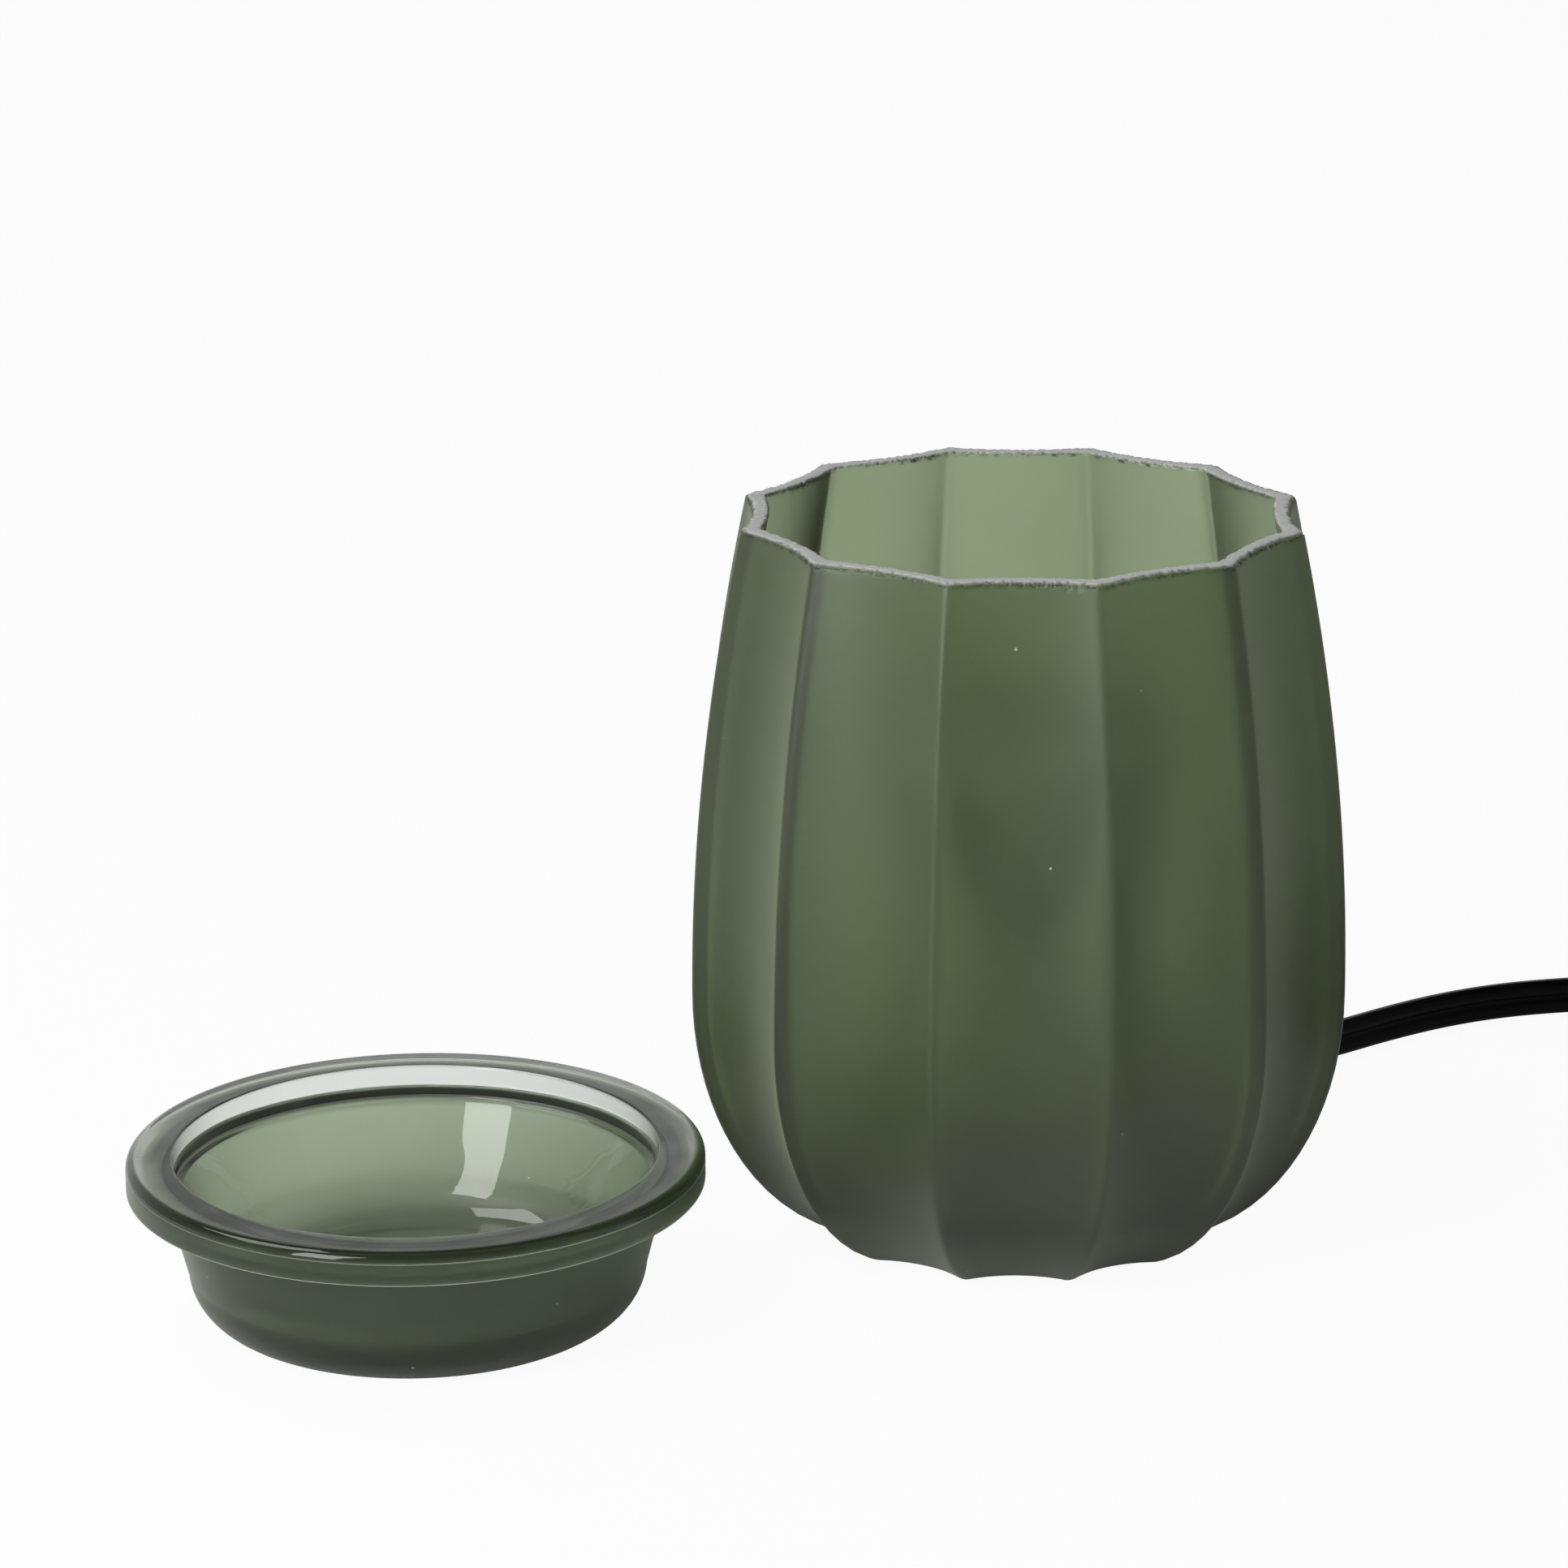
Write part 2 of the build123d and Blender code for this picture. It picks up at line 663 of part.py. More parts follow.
def switch_form(inset):
    """The switch's outer form, or with an inset the hollow inside it."""
    length = switch_length if inset == 0 else switch_cavity_length
    plan = RectangleRounded(length, switch_width - 2 * inset, switch_corner - inset)
    half, flat = switch_length / 2, switch_flat_length / 2
    slope = (switch_height - switch_end_height) / (half - flat)
    end = switch_height - inset - slope * (length / 2 - flat)
    side = Polyline((-length / 2, inset), (length / 2, inset), (length / 2, end), (flat, switch_height - inset),
                    (-flat, switch_height - inset), (-length / 2, end), close=True)
    wall = Pos(0, switch_width) * extrude(Plane.XZ * make_face(side), 2 * switch_width)
    return extrude(plan, switch_height) & wall


def switch_case():
    """The whole case before it is parted: walls, rocker frame, screw bosses and cord ports."""
    case = switch_form(0)
    case = fillet(case.edges().group_by(Axis.Z)[-1], switch_edge)
    case -= switch_form(switch_wall)
    top = switch_height
    frame = block(window_length + 2 * frame_wall, window_width + 2 * frame_wall, top - frame_depth, frame_depth)
    frame_cut = block(window_length, window_width, 0, top + overrun)
    case = case + frame - (frame_cut & block(window_length, window_width, switch_split, top))
    pivot = Plane.XZ * Circle(pivot_radius + pivot_clearance)
    hole = extrude(pivot, rocker_width / 2 + pivot_length + rocker_gap, both=True)
    case -= Pos(0, 0, pivot_level) * hole
    for side in (-1, 1):
        place = Pos(side * boss_spacing / 2, 0)
        boss = place * wheel(boss_radius, switch_wall, switch_height - 2 * switch_wall)
        case += boss & switch_form(0)
        case -= place * wheel(tapping_radius + thread_clearance, -overrun, tapping_length + overrun)
        case -= place * wheel(tapping_head_radius + screw_clearance, -overrun, tapping_head_height + overrun)
        port = Rectangle(cord_thickness + 2 * port_clearance, cord_width + 2 * port_clearance)
        pocket = extrude(Plane.YZ * port, port_depth, both=True)
        case -= Pos(side * switch_length / 2, 0, port_level) * pocket
    return case


def switch_shells():
    case = switch_case()
    low = case & block(2 * switch_length, 2 * switch_width, 0, switch_split)
    high = case & block(2 * switch_length, 2 * switch_width, switch_split, switch_height)
    return switch_place * low, switch_place * high


def switch_rocker():
    """A rocker with two wings, drawn level and then tipped to the side that rests pressed."""
    rise = rocker_middle + rocker_radius * tan(radians(rocker_angle))
    reach = rocker_radius + overrun
    wings = Polyline((-reach, -rocker_skirt), (reach, -rocker_skirt), (reach, rise), (0, rocker_middle),
                     (-reach, rise), close=True)
    face = make_face(wings) & Circle(rocker_radius)
    body = extrude(Plane.XZ * face, rocker_width / 2, both=True)
    stem = Pos(0, 0, -stem_depth) * extrude(Rectangle(stem_thickness, stem_width), stem_depth)
    pins = extrude(Plane.XZ * Circle(pivot_radius), rocker_width / 2 + pivot_length, both=True)
    blade = block(blade_length, blade_width, -stem_depth - blade_thickness, blade_thickness)
    tip = switch_place * Pos(0, 0, pivot_level) * Rot(0, -rocker_angle, 0)
    return tip * (body + stem + pins), tip * blade


def switch_pads():
    pad = block(pad_length, pad_width, switch_wall, pad_thickness)
    return [switch_place * Pos(side * pad_spacing / 2, 0) * pad for side in (-1, 1)]


def switch_screws():
    screw = wheel(tapping_head_radius, 0, tapping_head_height)
    screw += wheel(tapping_radius, tapping_head_height, tapping_length - tapping_head_height)
    slot = block(3 * tapping_head_radius, tapping_slot_width, -tapping_slot_depth, 2 * tapping_slot_depth)
    screw -= slot
    return [switch_place * Pos(side * boss_spacing / 2, 0) * screw for side in (-1, 1)]


# The plug is made with its blades along +X and the blades' roots at X = 0
plug_level = plug_thickness / 2 + table_clearance
plug_place = Pos(plug_x, plug_y, plug_level) * Rot(0, 0, plug_heading) * Pos(plug_tail_length + plug_length)


def plug_body():
    half, back, waist = plug_width / 2, plug_back_width / 2, plug_waist_width / 2
    middle = -plug_length / 2
    plan = [Line((0, -half), (0, half)), ThreePointArc((0, half), (middle, waist), (-plug_length, back)),
            Line((-plug_length, back), (-plug_length, -back)),
            ThreePointArc((-plug_length, -back), (middle, -waist), (0, -half))]
    thick, thin = plug_thickness / 2, plug_back_thickness / 2
    side = Polyline((0, -thick), (0, thick), (middle, thick), (-plug_length, thin), (-plug_length, -thin),
                    (middle, -thick), close=True)
    body = extrude(make_face(plan), thick, both=True)
    body &= extrude(Plane.XZ * make_face(side), plug_width, both=True)
    body = fillet(body.edges(), plug_edge)
    body += plug_tail()
    for blade in plug_blade_forms(blade_clearance):
        body -= blade
    return plug_place * body


def plug_tail():
    """The ribbed tail that bends with the lead."""
    start = -plug_length
    count = 2 * plug_rib_count + 1
    step = plug_tail_length / count
    tail = None
    for k in range(count):
        share = (2 * k + 1) / (2 * count)
        shrink = plug_rib_depth * (k % 2)
        width = plug_tail_width + share * (plug_tail_end_width - plug_tail_width) - shrink
        height = plug_tail_height + share * (plug_tail_end_height - plug_tail_height) - shrink
        face = Plane.YZ * RectangleRounded(width, height, plug_tail_corner)
        piece = Pos(start - k * step) * extrude(face, -step)
        tail = piece if tail is None else tail + piece
    return tail


def plug_blade_forms(margin):
    blades = []
    for side, height in zip((-1, 1), plug_blade_heights):
        outline = Rectangle(plug_blade_length + blade_root + margin, height + 2 * margin,
                            align=(Align.MAX, Align.CENTER))
        outline = chamfer(outline.vertices().group_by(Axis.X)[-1], blade_tip)
        outline -= Pos(-blade_hole_inset, 0) * Circle(blade_hole_radius)
        blade = extrude(Plane.XZ * outline, plug_blade_thickness / 2 + margin, both=True)
        blades.append(Pos(plug_blade_length, side * blade_spacing / 2) * blade)
    return blades


# The lead's own section and routes
def cord_plane(start, heading):
    """A section plane whose X is as near upright as the heading allows."""
    heading = heading.normalized()
    up = Vector(0, 0, 1) - heading * heading.Z
    return Plane(origin=start, x_dir=up, z_dir=heading)


def cord_tube(path):
    return sweep(cord_plane(path @ 0, path % 0) * cord_section(), path)


def cord_section():
    """Eight sides: flat cheeks and two rounded edges, drawn as corners."""
    half, cheek = cord_width / 2, cord_thickness / 2
    shoulder = half - cheek
    corner = cheek * cos(pi / 4)
    side = [(half, 0), (shoulder + corner, corner), (shoulder, cheek)]
    up = side + [(-x, y) for x, y in side[::-1]]
    outline = up + [(x, -y) for x, y in up[::-1][1:-1]]
    return make_face(Polyline(outline, close=True))


def free_stretch(name, points):
    """A stretch of lead on straight runs joined by arcs as large as the runs allow."""
    points = [Vector(p) for p in points]
    radii = []
    for before, at, after in zip(points, points[1:], points[2:]):
        turn = radians((at - before).get_angle(after - at))
        radii.append(arc_share * min((at - before).length, (after - at).length) / tan(turn / 2))
    path = FilletPolyline(*points, radius=radii)
    tube = cord_tube(path)
    share = tube.volume / (cord_section().area * path.length)
    print(f"{name}: {path.length:.0f} mm, volume share {share:.3f}, radii",
          " ".join(f"{r:.0f}" for r in radii), "lowest", round(tube.bounding_box().min.Z, 2))
    lengths.append(path.length)
    return tube


def coil_point(turned):
    """A place on the coil's centreline, by the angle turned so far, in turns.

    It closes in to the middle turn, climbs a layer in the half turn there, and opens out again."""
    middle, climbing = coil_turns / 2, 1 / 2
    outside = max(abs(turned - middle) - climbing / 2, 0)
    radius = coil_inner_radius + coil_pitch * (outside + min(outside, climbing))
    climb = min(max((turned - middle + climbing / 2) / climbing, 0), 1)
    level = coil_level + coil_layer * (1 - cos(pi * climb)) / 2
    angle = radians(coil_start_angle) - 2 * pi * turned
    return Vector(coil_x + radius * cos(angle), coil_y + radius * sin(angle), level)


def biarc(start, heading, end, end_heading):
    """Two arcs that leave start along heading and reach end along end_heading."""
    across, both = end - start, heading + end_heading
    bend = 2 * (1 - heading.dot(end_heading))
    along = across.dot(both)
    reach = (-along + sqrt(along**2 + bend * across.dot(across))) / bend
    middle = (start + end + (heading - end_heading) * reach) / 2
    turned = (end - end_heading * reach) - (start + heading * reach)
    return [TangentArc(start, middle, tangent=heading), TangentArc(middle, end, tangent=turned)]


coil_level = cord_width / 2 + tie_thickness + tie_clearance + table_clearance
coil_inner_radius = coil_outer_radius - coil_pitch * (coil_turns / 2 + 1 / 4)


def coil_path():
    """Two layers of turns, in along the lower one and out along the upper, with straight ends."""
    count = round(coil_turns * 4)
    stops = [coil_turns * k / count for k in range(count + 1)]
    nudge = 0.001
    places = [coil_point(t) for t in stops]
    headings = [(coil_point(t + nudge) - coil_point(t - nudge)).normalized() for t in stops]
    edges = [Line(places[0] - headings[0] * cord_width, places[0])]
    for k in range(count):
        edges += biarc(places[k], headings[k], places[k + 1], headings[k + 1])
    edges.append(Line(places[-1], places[-1] + headings[-1] * cord_width))
    return Wire([e.edge() for e in edges])


def least_gap(path):
    """The least distance between the surfaces of turns that lie beside or on each other."""
    step = cord_thickness
    count = int(path.length / step)
    spots = [path @ (k / count) for k in range(count + 1)]
    skip = int(coil_outer_radius / step)
    least = path.length
    for k, a in enumerate(spots):
        for b in spots[k + skip:]:
            level = abs(a.Z - b.Z)
            flat = sqrt((a.X - b.X) ** 2 + (a.Y - b.Y) ** 2)
            core = cord_width - cord_thickness
            apart = sqrt(flat**2 + max(level - core, 0) ** 2) - cord_thickness
            least = min(least, apart)
    return least


def cord_coil():
    path = coil_path()
    coil = cord_tube(path)
    share = coil.volume / (cord_section().area * path.length)
    print(f"cord_coil: {path.length:.0f} mm, volume share {share:.3f}, least gap {least_gap(path):.2f} mm")
    lengths.append(path.length)
    return coil


def coil_tie():
    """A flat strap round the turns, which holds them together."""
    slack = 4 * tie_clearance
    across = coil_outer_radius - coil_inner_radius + cord_thickness + slack
    tall = cord_width + coil_layer + slack
    hole = RectangleRounded(across, tall, tie_corner)
    band = RectangleRounded(across + 2 * tie_thickness, tall + 2 * tie_thickness, tie_corner + tie_thickness)
    loop = extrude(Plane.XZ * (band - hole), tie_width / 2, both=True)
    middle = (coil_outer_radius + coil_inner_radius) / 2
    place = Pos(coil_x, coil_y, tall / 2 + tie_thickness) * Rot(0, 0, tie_angle) * Pos(middle, 0)
    return place * loop


os.makedirs("parts", exist_ok=True)
lengths = []
vessel = glass_vessel()
write("glass_vessel", vessel)
write("melt_dish", melt_dish())
write("cord_bushing", cord_bushing(vessel))
write("threaded_pipe", threaded_pipe())
write("pipe_nuts", Compound(children=[hex_nut(nut_low), hex_nut(nut_high)]))
rubber = [ring(rubber_radius, hole_in_stack, low, rubber_thickness) for low in (rubber_low, floor_height)]
write("rubber_washers", Compound(children=rubber))
write("plain_washer", ring(washer_radius, hole_in_stack, washer_low, washer_thickness))
write("lock_washer", lock_washer())
write("holder_bracket", holder_bracket())
write("holder_cover", holder_cover())
write("holder_body", holder_body())
write("holder_contacts", Compound(children=holder_contacts()))
write("holder_screws", Compound(children=holder_screws()))
write("holder_leads", Compound(children=holder_leads()))
write("crimp_caps", Compound(children=crimp_caps()))
write("cord_cores", Compound(children=cord_cores()))
write("lamp_base", lamp_base())
write("lamp_reflector", lamp_reflector())
write("lamp_front_glass", lamp_front_glass())
write("lamp_capsule", lamp_capsule())
write("lamp_pins", Compound(children=lamp_pins()))
low_shell, high_shell = switch_shells()
write("switch_lower_shell", low_shell)
write("switch_upper_shell", high_shell)
rocker, blade = switch_rocker()
write("switch_rocker", rocker)
write("switch_blade", blade)
write("switch_contacts", Compound(children=switch_pads()))
write("switch_screws", Compound(children=switch_screws()))
write("plug_body", plug_body())
write("plug_blades", Compound(children=[plug_place * b for b in plug_blade_forms(0)]))

# The lead: out of the bushing, through the switch, round the coil and to the plug
half_switch = switch_length / 2 - port_depth
switch_in = Vector(switch_x, switch_y + half_switch, port_level)
switch_out = Vector(switch_x, switch_y - half_switch, port_level)
coil_wire = coil_path()
coil_in, coil_out = coil_wire @ 0, coil_wire @ 1
plug_in = Vector(plug_x, plug_y, plug_level)
plug_way = Vector(cos(radians(plug_heading)), sin(radians(plug_heading)))
along = Vector(0, 1)
after_glass = tail_end + outward * exit_run
before_coil = coil_in - (coil_wire % 0) * exit_run
after_coil = coil_out + (coil_wire % 1) * exit_run
before_plug = plug_in - plug_way * exit_run
write("cord_to_switch", free_stretch("cord_to_switch", [
    tail_end, after_glass, *TO_SWITCH, switch_in + along * switch_run, switch_in]))
write("cord_to_coil", free_stretch("cord_to_coil", [
    switch_out, switch_out - along * switch_run, *TO_COIL, before_coil, coil_in]))
write("cord_coil", cord_coil())
write("cord_to_plug", free_stretch("cord_to_plug", [coil_out, after_coil, before_plug, plug_in]))
write("coil_tie", coil_tie())
print(f"lead: {sum(lengths) + bushing_length + 2 * half_switch:.0f} mm from the glass to the plug")
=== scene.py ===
"""An electric wax melt warmer: a fluted satin glass vessel with a lamp inside, its melt dish and its lead.

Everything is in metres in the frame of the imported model: the origin is the middle of the vessel's
foot on the table, +Z is up, and the camera looks roughly along +Y.
"""
import json
import math
from collections import namedtuple

import bmesh
import bpy
from mathutils import Matrix, Vector
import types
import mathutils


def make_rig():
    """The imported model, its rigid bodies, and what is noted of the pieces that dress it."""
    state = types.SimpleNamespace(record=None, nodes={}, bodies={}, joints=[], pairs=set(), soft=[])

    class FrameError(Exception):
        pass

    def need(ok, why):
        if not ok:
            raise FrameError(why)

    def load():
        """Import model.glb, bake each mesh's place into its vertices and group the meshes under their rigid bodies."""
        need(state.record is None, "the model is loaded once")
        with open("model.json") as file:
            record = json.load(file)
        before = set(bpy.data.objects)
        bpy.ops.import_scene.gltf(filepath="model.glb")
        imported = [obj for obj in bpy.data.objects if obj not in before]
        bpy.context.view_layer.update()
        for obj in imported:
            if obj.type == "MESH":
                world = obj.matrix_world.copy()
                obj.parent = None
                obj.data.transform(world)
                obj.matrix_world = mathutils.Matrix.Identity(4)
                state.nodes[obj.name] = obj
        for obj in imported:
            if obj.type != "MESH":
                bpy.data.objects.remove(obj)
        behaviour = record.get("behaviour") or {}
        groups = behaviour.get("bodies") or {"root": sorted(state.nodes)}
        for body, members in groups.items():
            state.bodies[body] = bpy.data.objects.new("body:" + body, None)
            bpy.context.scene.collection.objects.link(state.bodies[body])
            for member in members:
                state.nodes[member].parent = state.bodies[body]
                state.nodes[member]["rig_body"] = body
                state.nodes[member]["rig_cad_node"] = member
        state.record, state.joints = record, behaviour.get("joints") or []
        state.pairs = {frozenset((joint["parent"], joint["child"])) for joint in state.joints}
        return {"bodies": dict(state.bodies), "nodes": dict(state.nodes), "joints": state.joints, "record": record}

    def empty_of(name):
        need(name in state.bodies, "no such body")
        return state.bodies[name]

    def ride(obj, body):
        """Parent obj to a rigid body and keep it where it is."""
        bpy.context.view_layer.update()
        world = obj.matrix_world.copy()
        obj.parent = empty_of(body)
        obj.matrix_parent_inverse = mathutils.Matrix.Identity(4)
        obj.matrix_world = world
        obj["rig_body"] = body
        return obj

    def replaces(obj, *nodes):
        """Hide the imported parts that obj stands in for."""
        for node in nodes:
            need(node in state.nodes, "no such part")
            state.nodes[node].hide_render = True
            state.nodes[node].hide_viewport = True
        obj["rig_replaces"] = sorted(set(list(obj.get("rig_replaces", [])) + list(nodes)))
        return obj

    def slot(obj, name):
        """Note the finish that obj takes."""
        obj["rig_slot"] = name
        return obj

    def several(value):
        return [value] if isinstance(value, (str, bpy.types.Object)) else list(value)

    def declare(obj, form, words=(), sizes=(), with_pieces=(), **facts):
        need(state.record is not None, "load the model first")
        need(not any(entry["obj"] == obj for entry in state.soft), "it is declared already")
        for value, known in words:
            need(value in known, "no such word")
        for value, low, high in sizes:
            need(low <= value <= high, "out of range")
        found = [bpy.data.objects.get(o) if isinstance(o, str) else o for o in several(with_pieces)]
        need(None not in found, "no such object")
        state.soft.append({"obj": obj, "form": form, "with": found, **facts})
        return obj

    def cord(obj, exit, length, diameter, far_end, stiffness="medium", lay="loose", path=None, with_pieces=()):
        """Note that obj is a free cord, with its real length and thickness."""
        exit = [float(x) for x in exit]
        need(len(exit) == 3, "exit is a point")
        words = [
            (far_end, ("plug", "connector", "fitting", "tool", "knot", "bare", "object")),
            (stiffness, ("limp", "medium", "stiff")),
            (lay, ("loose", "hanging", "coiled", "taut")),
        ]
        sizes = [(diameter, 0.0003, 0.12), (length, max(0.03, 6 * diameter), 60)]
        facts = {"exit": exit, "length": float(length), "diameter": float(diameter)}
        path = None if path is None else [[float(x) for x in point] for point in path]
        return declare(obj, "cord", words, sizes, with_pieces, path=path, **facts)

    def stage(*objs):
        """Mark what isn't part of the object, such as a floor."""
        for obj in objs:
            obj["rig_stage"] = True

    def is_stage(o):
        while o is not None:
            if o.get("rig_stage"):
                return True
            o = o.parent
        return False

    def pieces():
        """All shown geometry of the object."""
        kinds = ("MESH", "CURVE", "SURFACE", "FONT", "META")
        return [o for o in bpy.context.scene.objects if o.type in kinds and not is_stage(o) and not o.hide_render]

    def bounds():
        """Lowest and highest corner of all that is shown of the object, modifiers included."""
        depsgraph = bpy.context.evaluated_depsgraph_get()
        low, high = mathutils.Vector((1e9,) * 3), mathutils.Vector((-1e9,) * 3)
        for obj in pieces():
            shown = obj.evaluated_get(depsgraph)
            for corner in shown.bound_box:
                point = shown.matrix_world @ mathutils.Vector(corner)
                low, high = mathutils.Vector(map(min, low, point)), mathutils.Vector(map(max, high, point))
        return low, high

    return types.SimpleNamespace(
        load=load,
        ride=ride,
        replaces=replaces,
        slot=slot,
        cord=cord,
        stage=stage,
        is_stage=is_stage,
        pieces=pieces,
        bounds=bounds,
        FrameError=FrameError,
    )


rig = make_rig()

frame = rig.load()
cad_box = [list(corner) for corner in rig.bounds()]
scene = bpy.context.scene
nodes = frame["nodes"]

# The photograph's viewpoint: a long lens about 0.95 m from the vessel, looking down 17 degrees.
# It was worked out from the outlines of the rim, the foot and the dish.
CAMERA_PLACE, CAMERA_LENS, CAMERA_SENSOR = (-0.01247, -0.90898, 0.35355), 130.82, 36.0
CAMERA_YAW, CAMERA_DOWN, CAMERA_ROLL = 1.68, 16.966, -0.20

camera = bpy.data.objects.new("camera", bpy.data.cameras.new("camera"))
scene.collection.objects.link(camera)
camera.data.sensor_width = CAMERA_SENSOR
camera.data.lens = CAMERA_LENS
camera.data.clip_end = 10.0
yaw, tilt, roll = math.radians(CAMERA_YAW), math.radians(90 - CAMERA_DOWN), math.radians(CAMERA_ROLL)
camera.matrix_world = (Matrix.Translation(CAMERA_PLACE)
                       @ Matrix.Rotation(yaw, 4, "Z") @ Matrix.Rotation(tilt, 4, "X")
                       @ Matrix.Rotation(roll, 4, "Z"))
scene.camera = camera

# The mains lead: two round cores side by side in one black plastic jacket, 6.4 by 3.1 mm, with a groove
# along each flat side. It stands on edge and runs from the bushing to the switch, then on round the
# put-away coil to the plug.
LEAD_WIDTH, LEAD_THICKNESS, GROOVE_WEB, GROOVE_SOFT = 0.0064, 0.0031, 0.0015, 0.0003
LEAD_SECTION_POINTS = 48


class NodeMaker:
    """Short ways to add nodes to a tree. An input that is a socket is linked, and any other is set."""

    def __init__(self, tree):
        self.tree = tree

    def __call__(self, kind, inputs=(), **settings):
        node = self.tree.nodes.new(kind)
        for name, value in settings.items():
            setattr(node, name, value)
        for key, value in dict(inputs).items():
            socket = node.inputs[key]
            if isinstance(value, bpy.types.NodeSocket):
                self.tree.links.new(value, socket)
            else:
                socket.default_value = value
        return node

    def calc(self, operation, *values):
        return self("ShaderNodeMath", dict(enumerate(values)), operation=operation).outputs[0]

    def object_place(self):
        return self("ShaderNodeTexCoord").outputs["Object"]

    def noise(self, where, scale, detail=2.0):
        return self("ShaderNodeTexNoise", {"Vector": where, "Scale": scale, "Detail": detail}).outputs[0]

    def ranged(self, value, start, stop, first=0.0, last=1.0):
        """A value that goes from first to last while the given one goes from start to stop."""
        return self("ShaderNodeMapRange", {"Value": value, "From Min": start, "From Max": stop,
                                           "To Min": first, "To Max": last}).outputs[0]

    def blend(self, share, first, second):
        """A colour between two others."""
        return self("ShaderNodeMix", {"Factor": share, 6: first, 7: second}, data_type="RGBA").outputs[2]

    def bump(self, height, strength, distance, **under):
        """A bump, on top of the one that is given as Normal."""
        return self("ShaderNodeBump", {"Height": height, "Strength": strength, "Distance": distance,
                                       **under}).outputs[0]

    def surface(self, look):
        shader = self("ShaderNodeBsdfPrincipled", look)
        self("ShaderNodeOutputMaterial", {"Surface": shader.outputs[0]})


def new_material(name):
    material = bpy.data.materials.new(name)
    material.use_nodes = True
    material.node_tree.nodes.clear()
    return material, NodeMaker(material.node_tree)


def shape_tree(name, sizes):
    """A Geometry Nodes tree that changes a geometry, with these named inputs of these kinds."""
    tree = bpy.data.node_groups.new(name, "GeometryNodeTree")
    tree.interface.new_socket("Geometry", in_out="INPUT", socket_type="NodeSocketGeometry")
    for label, kind in sizes.items():
        tree.interface.new_socket(label, in_out="INPUT", socket_type="NodeSocket" + kind)
    tree.interface.new_socket("Geometry", in_out="OUTPUT", socket_type="NodeSocketGeometry")
    return tree


def send_out(add, body, material):
    """Ends such a tree: the body is shaded smooth, has no instances left and gets its material."""
    body = add("GeometryNodeSetShadeSmooth", {"Geometry": body, "Shade Smooth": True}).outputs[0]
    body = add("GeometryNodeRealizeInstances", {"Geometry": body}).outputs[0]
    body = add("GeometryNodeSetMaterial", {"Geometry": body, "Material": material}).outputs[0]
    add("NodeGroupOutput", {"Geometry": body})


def shaped(obj, tree, sizes):
    """The object put through the tree with these inputs, as a plain mesh. The first object is removed."""
    modifier = obj.modifiers.new(tree.name, "NODES")
    modifier.node_group = tree
    for item in tree.interface.items_tree:
        if item.item_type == "SOCKET" and item.in_out == "INPUT" and item.name in sizes:
            modifier[item.identifier] = sizes[item.name]
    bpy.context.view_layer.update()
    graph = bpy.context.evaluated_depsgraph_get()
    mesh = bpy.data.meshes.new_from_object(obj.evaluated_get(graph))
    name = obj.name
    bpy.data.objects.remove(obj)
    mesh.name = name
    plain = bpy.data.objects.new(name, mesh)
    scene.collection.objects.link(plain)
    return plain


def lead_section_tree():
    """Sweeps the lead's section, two round cores and the groove between them, along a route."""
    tree = shape_tree("two_core_lead", {"Width": "Float", "Thickness": "Float", "Web": "Float",
                                        "Groove Soft": "Float", "Points": "Int", "Jacket": "Material"})
    add = NodeMaker(tree)
    calc = add.calc
    given = add("NodeGroupInput").outputs
    circle = add("GeometryNodeCurvePrimitiveCircle", {"Resolution": given["Points"], "Radius": 1.0},
                 mode="RADIUS")
    place = add("ShaderNodeSeparateXYZ", {0: add("GeometryNodeInputPosition").outputs[0]}).outputs
    half_width = calc("DIVIDE", given["Width"], 2.0)
    core = calc("DIVIDE", given["Thickness"], 2.0)
    along = calc("MULTIPLY", place[1], half_width)
    off = calc("SUBTRACT", calc("ABSOLUTE", along), calc("SUBTRACT", half_width, core))
    bulge = calc("SUBTRACT", calc("MULTIPLY", core, core), calc("MULTIPLY", off, off))
    tall = calc("SQRT", calc("MAXIMUM", bulge, 0.0))
    tall = calc("SMOOTH_MAX", tall, calc("DIVIDE", given["Web"], 2.0), given["Groove Soft"])
    rounded = calc("MAXIMUM", calc("SUBTRACT", 1.0, calc("MULTIPLY", place[1], place[1])), 0.0)
    near_end = calc("MULTIPLY", calc("SQRT", rounded), given["Width"])
    tall = calc("MULTIPLY", calc("MINIMUM", tall, near_end), calc("SIGN", place[0]))
    spot = add("ShaderNodeCombineXYZ", {0: tall, 1: along}).outputs[0]
    outline = add("GeometryNodeSetPosition", {"Geometry": circle.outputs[0], "Position": spot}).outputs[0]
    upright = add("GeometryNodeSetCurveNormal", {"Curve": given["Geometry"]}, mode="Z_UP").outputs[0]
    swept = add("GeometryNodeCurveToMesh", {"Curve": upright, "Profile Curve": outline, "Fill Caps": True})
    send_out(add, swept.outputs[0], given["Jacket"])
    return tree


def lead_jacket():
    """Black plastic, satin and a little cloudy, with a faint fine grain."""
    material, add = new_material("lead_jacket")
    where = add.object_place()
    grain, cloud = add.noise(where, 900.0, 3.0), add.noise(where, 60.0)
    add.surface({"Base Color": add.blend(cloud, (0.0015, 0.0015, 0.0015, 1), (0.0035, 0.0035, 0.0035, 1)),
                 "Roughness": add.ranged(cloud, 0.0, 1.0, 0.25, 0.42),
                 "Normal": add.bump(grain, 0.12, 0.0002), "IOR": 1.5, "Specular IOR Level": 0.13})
    return material


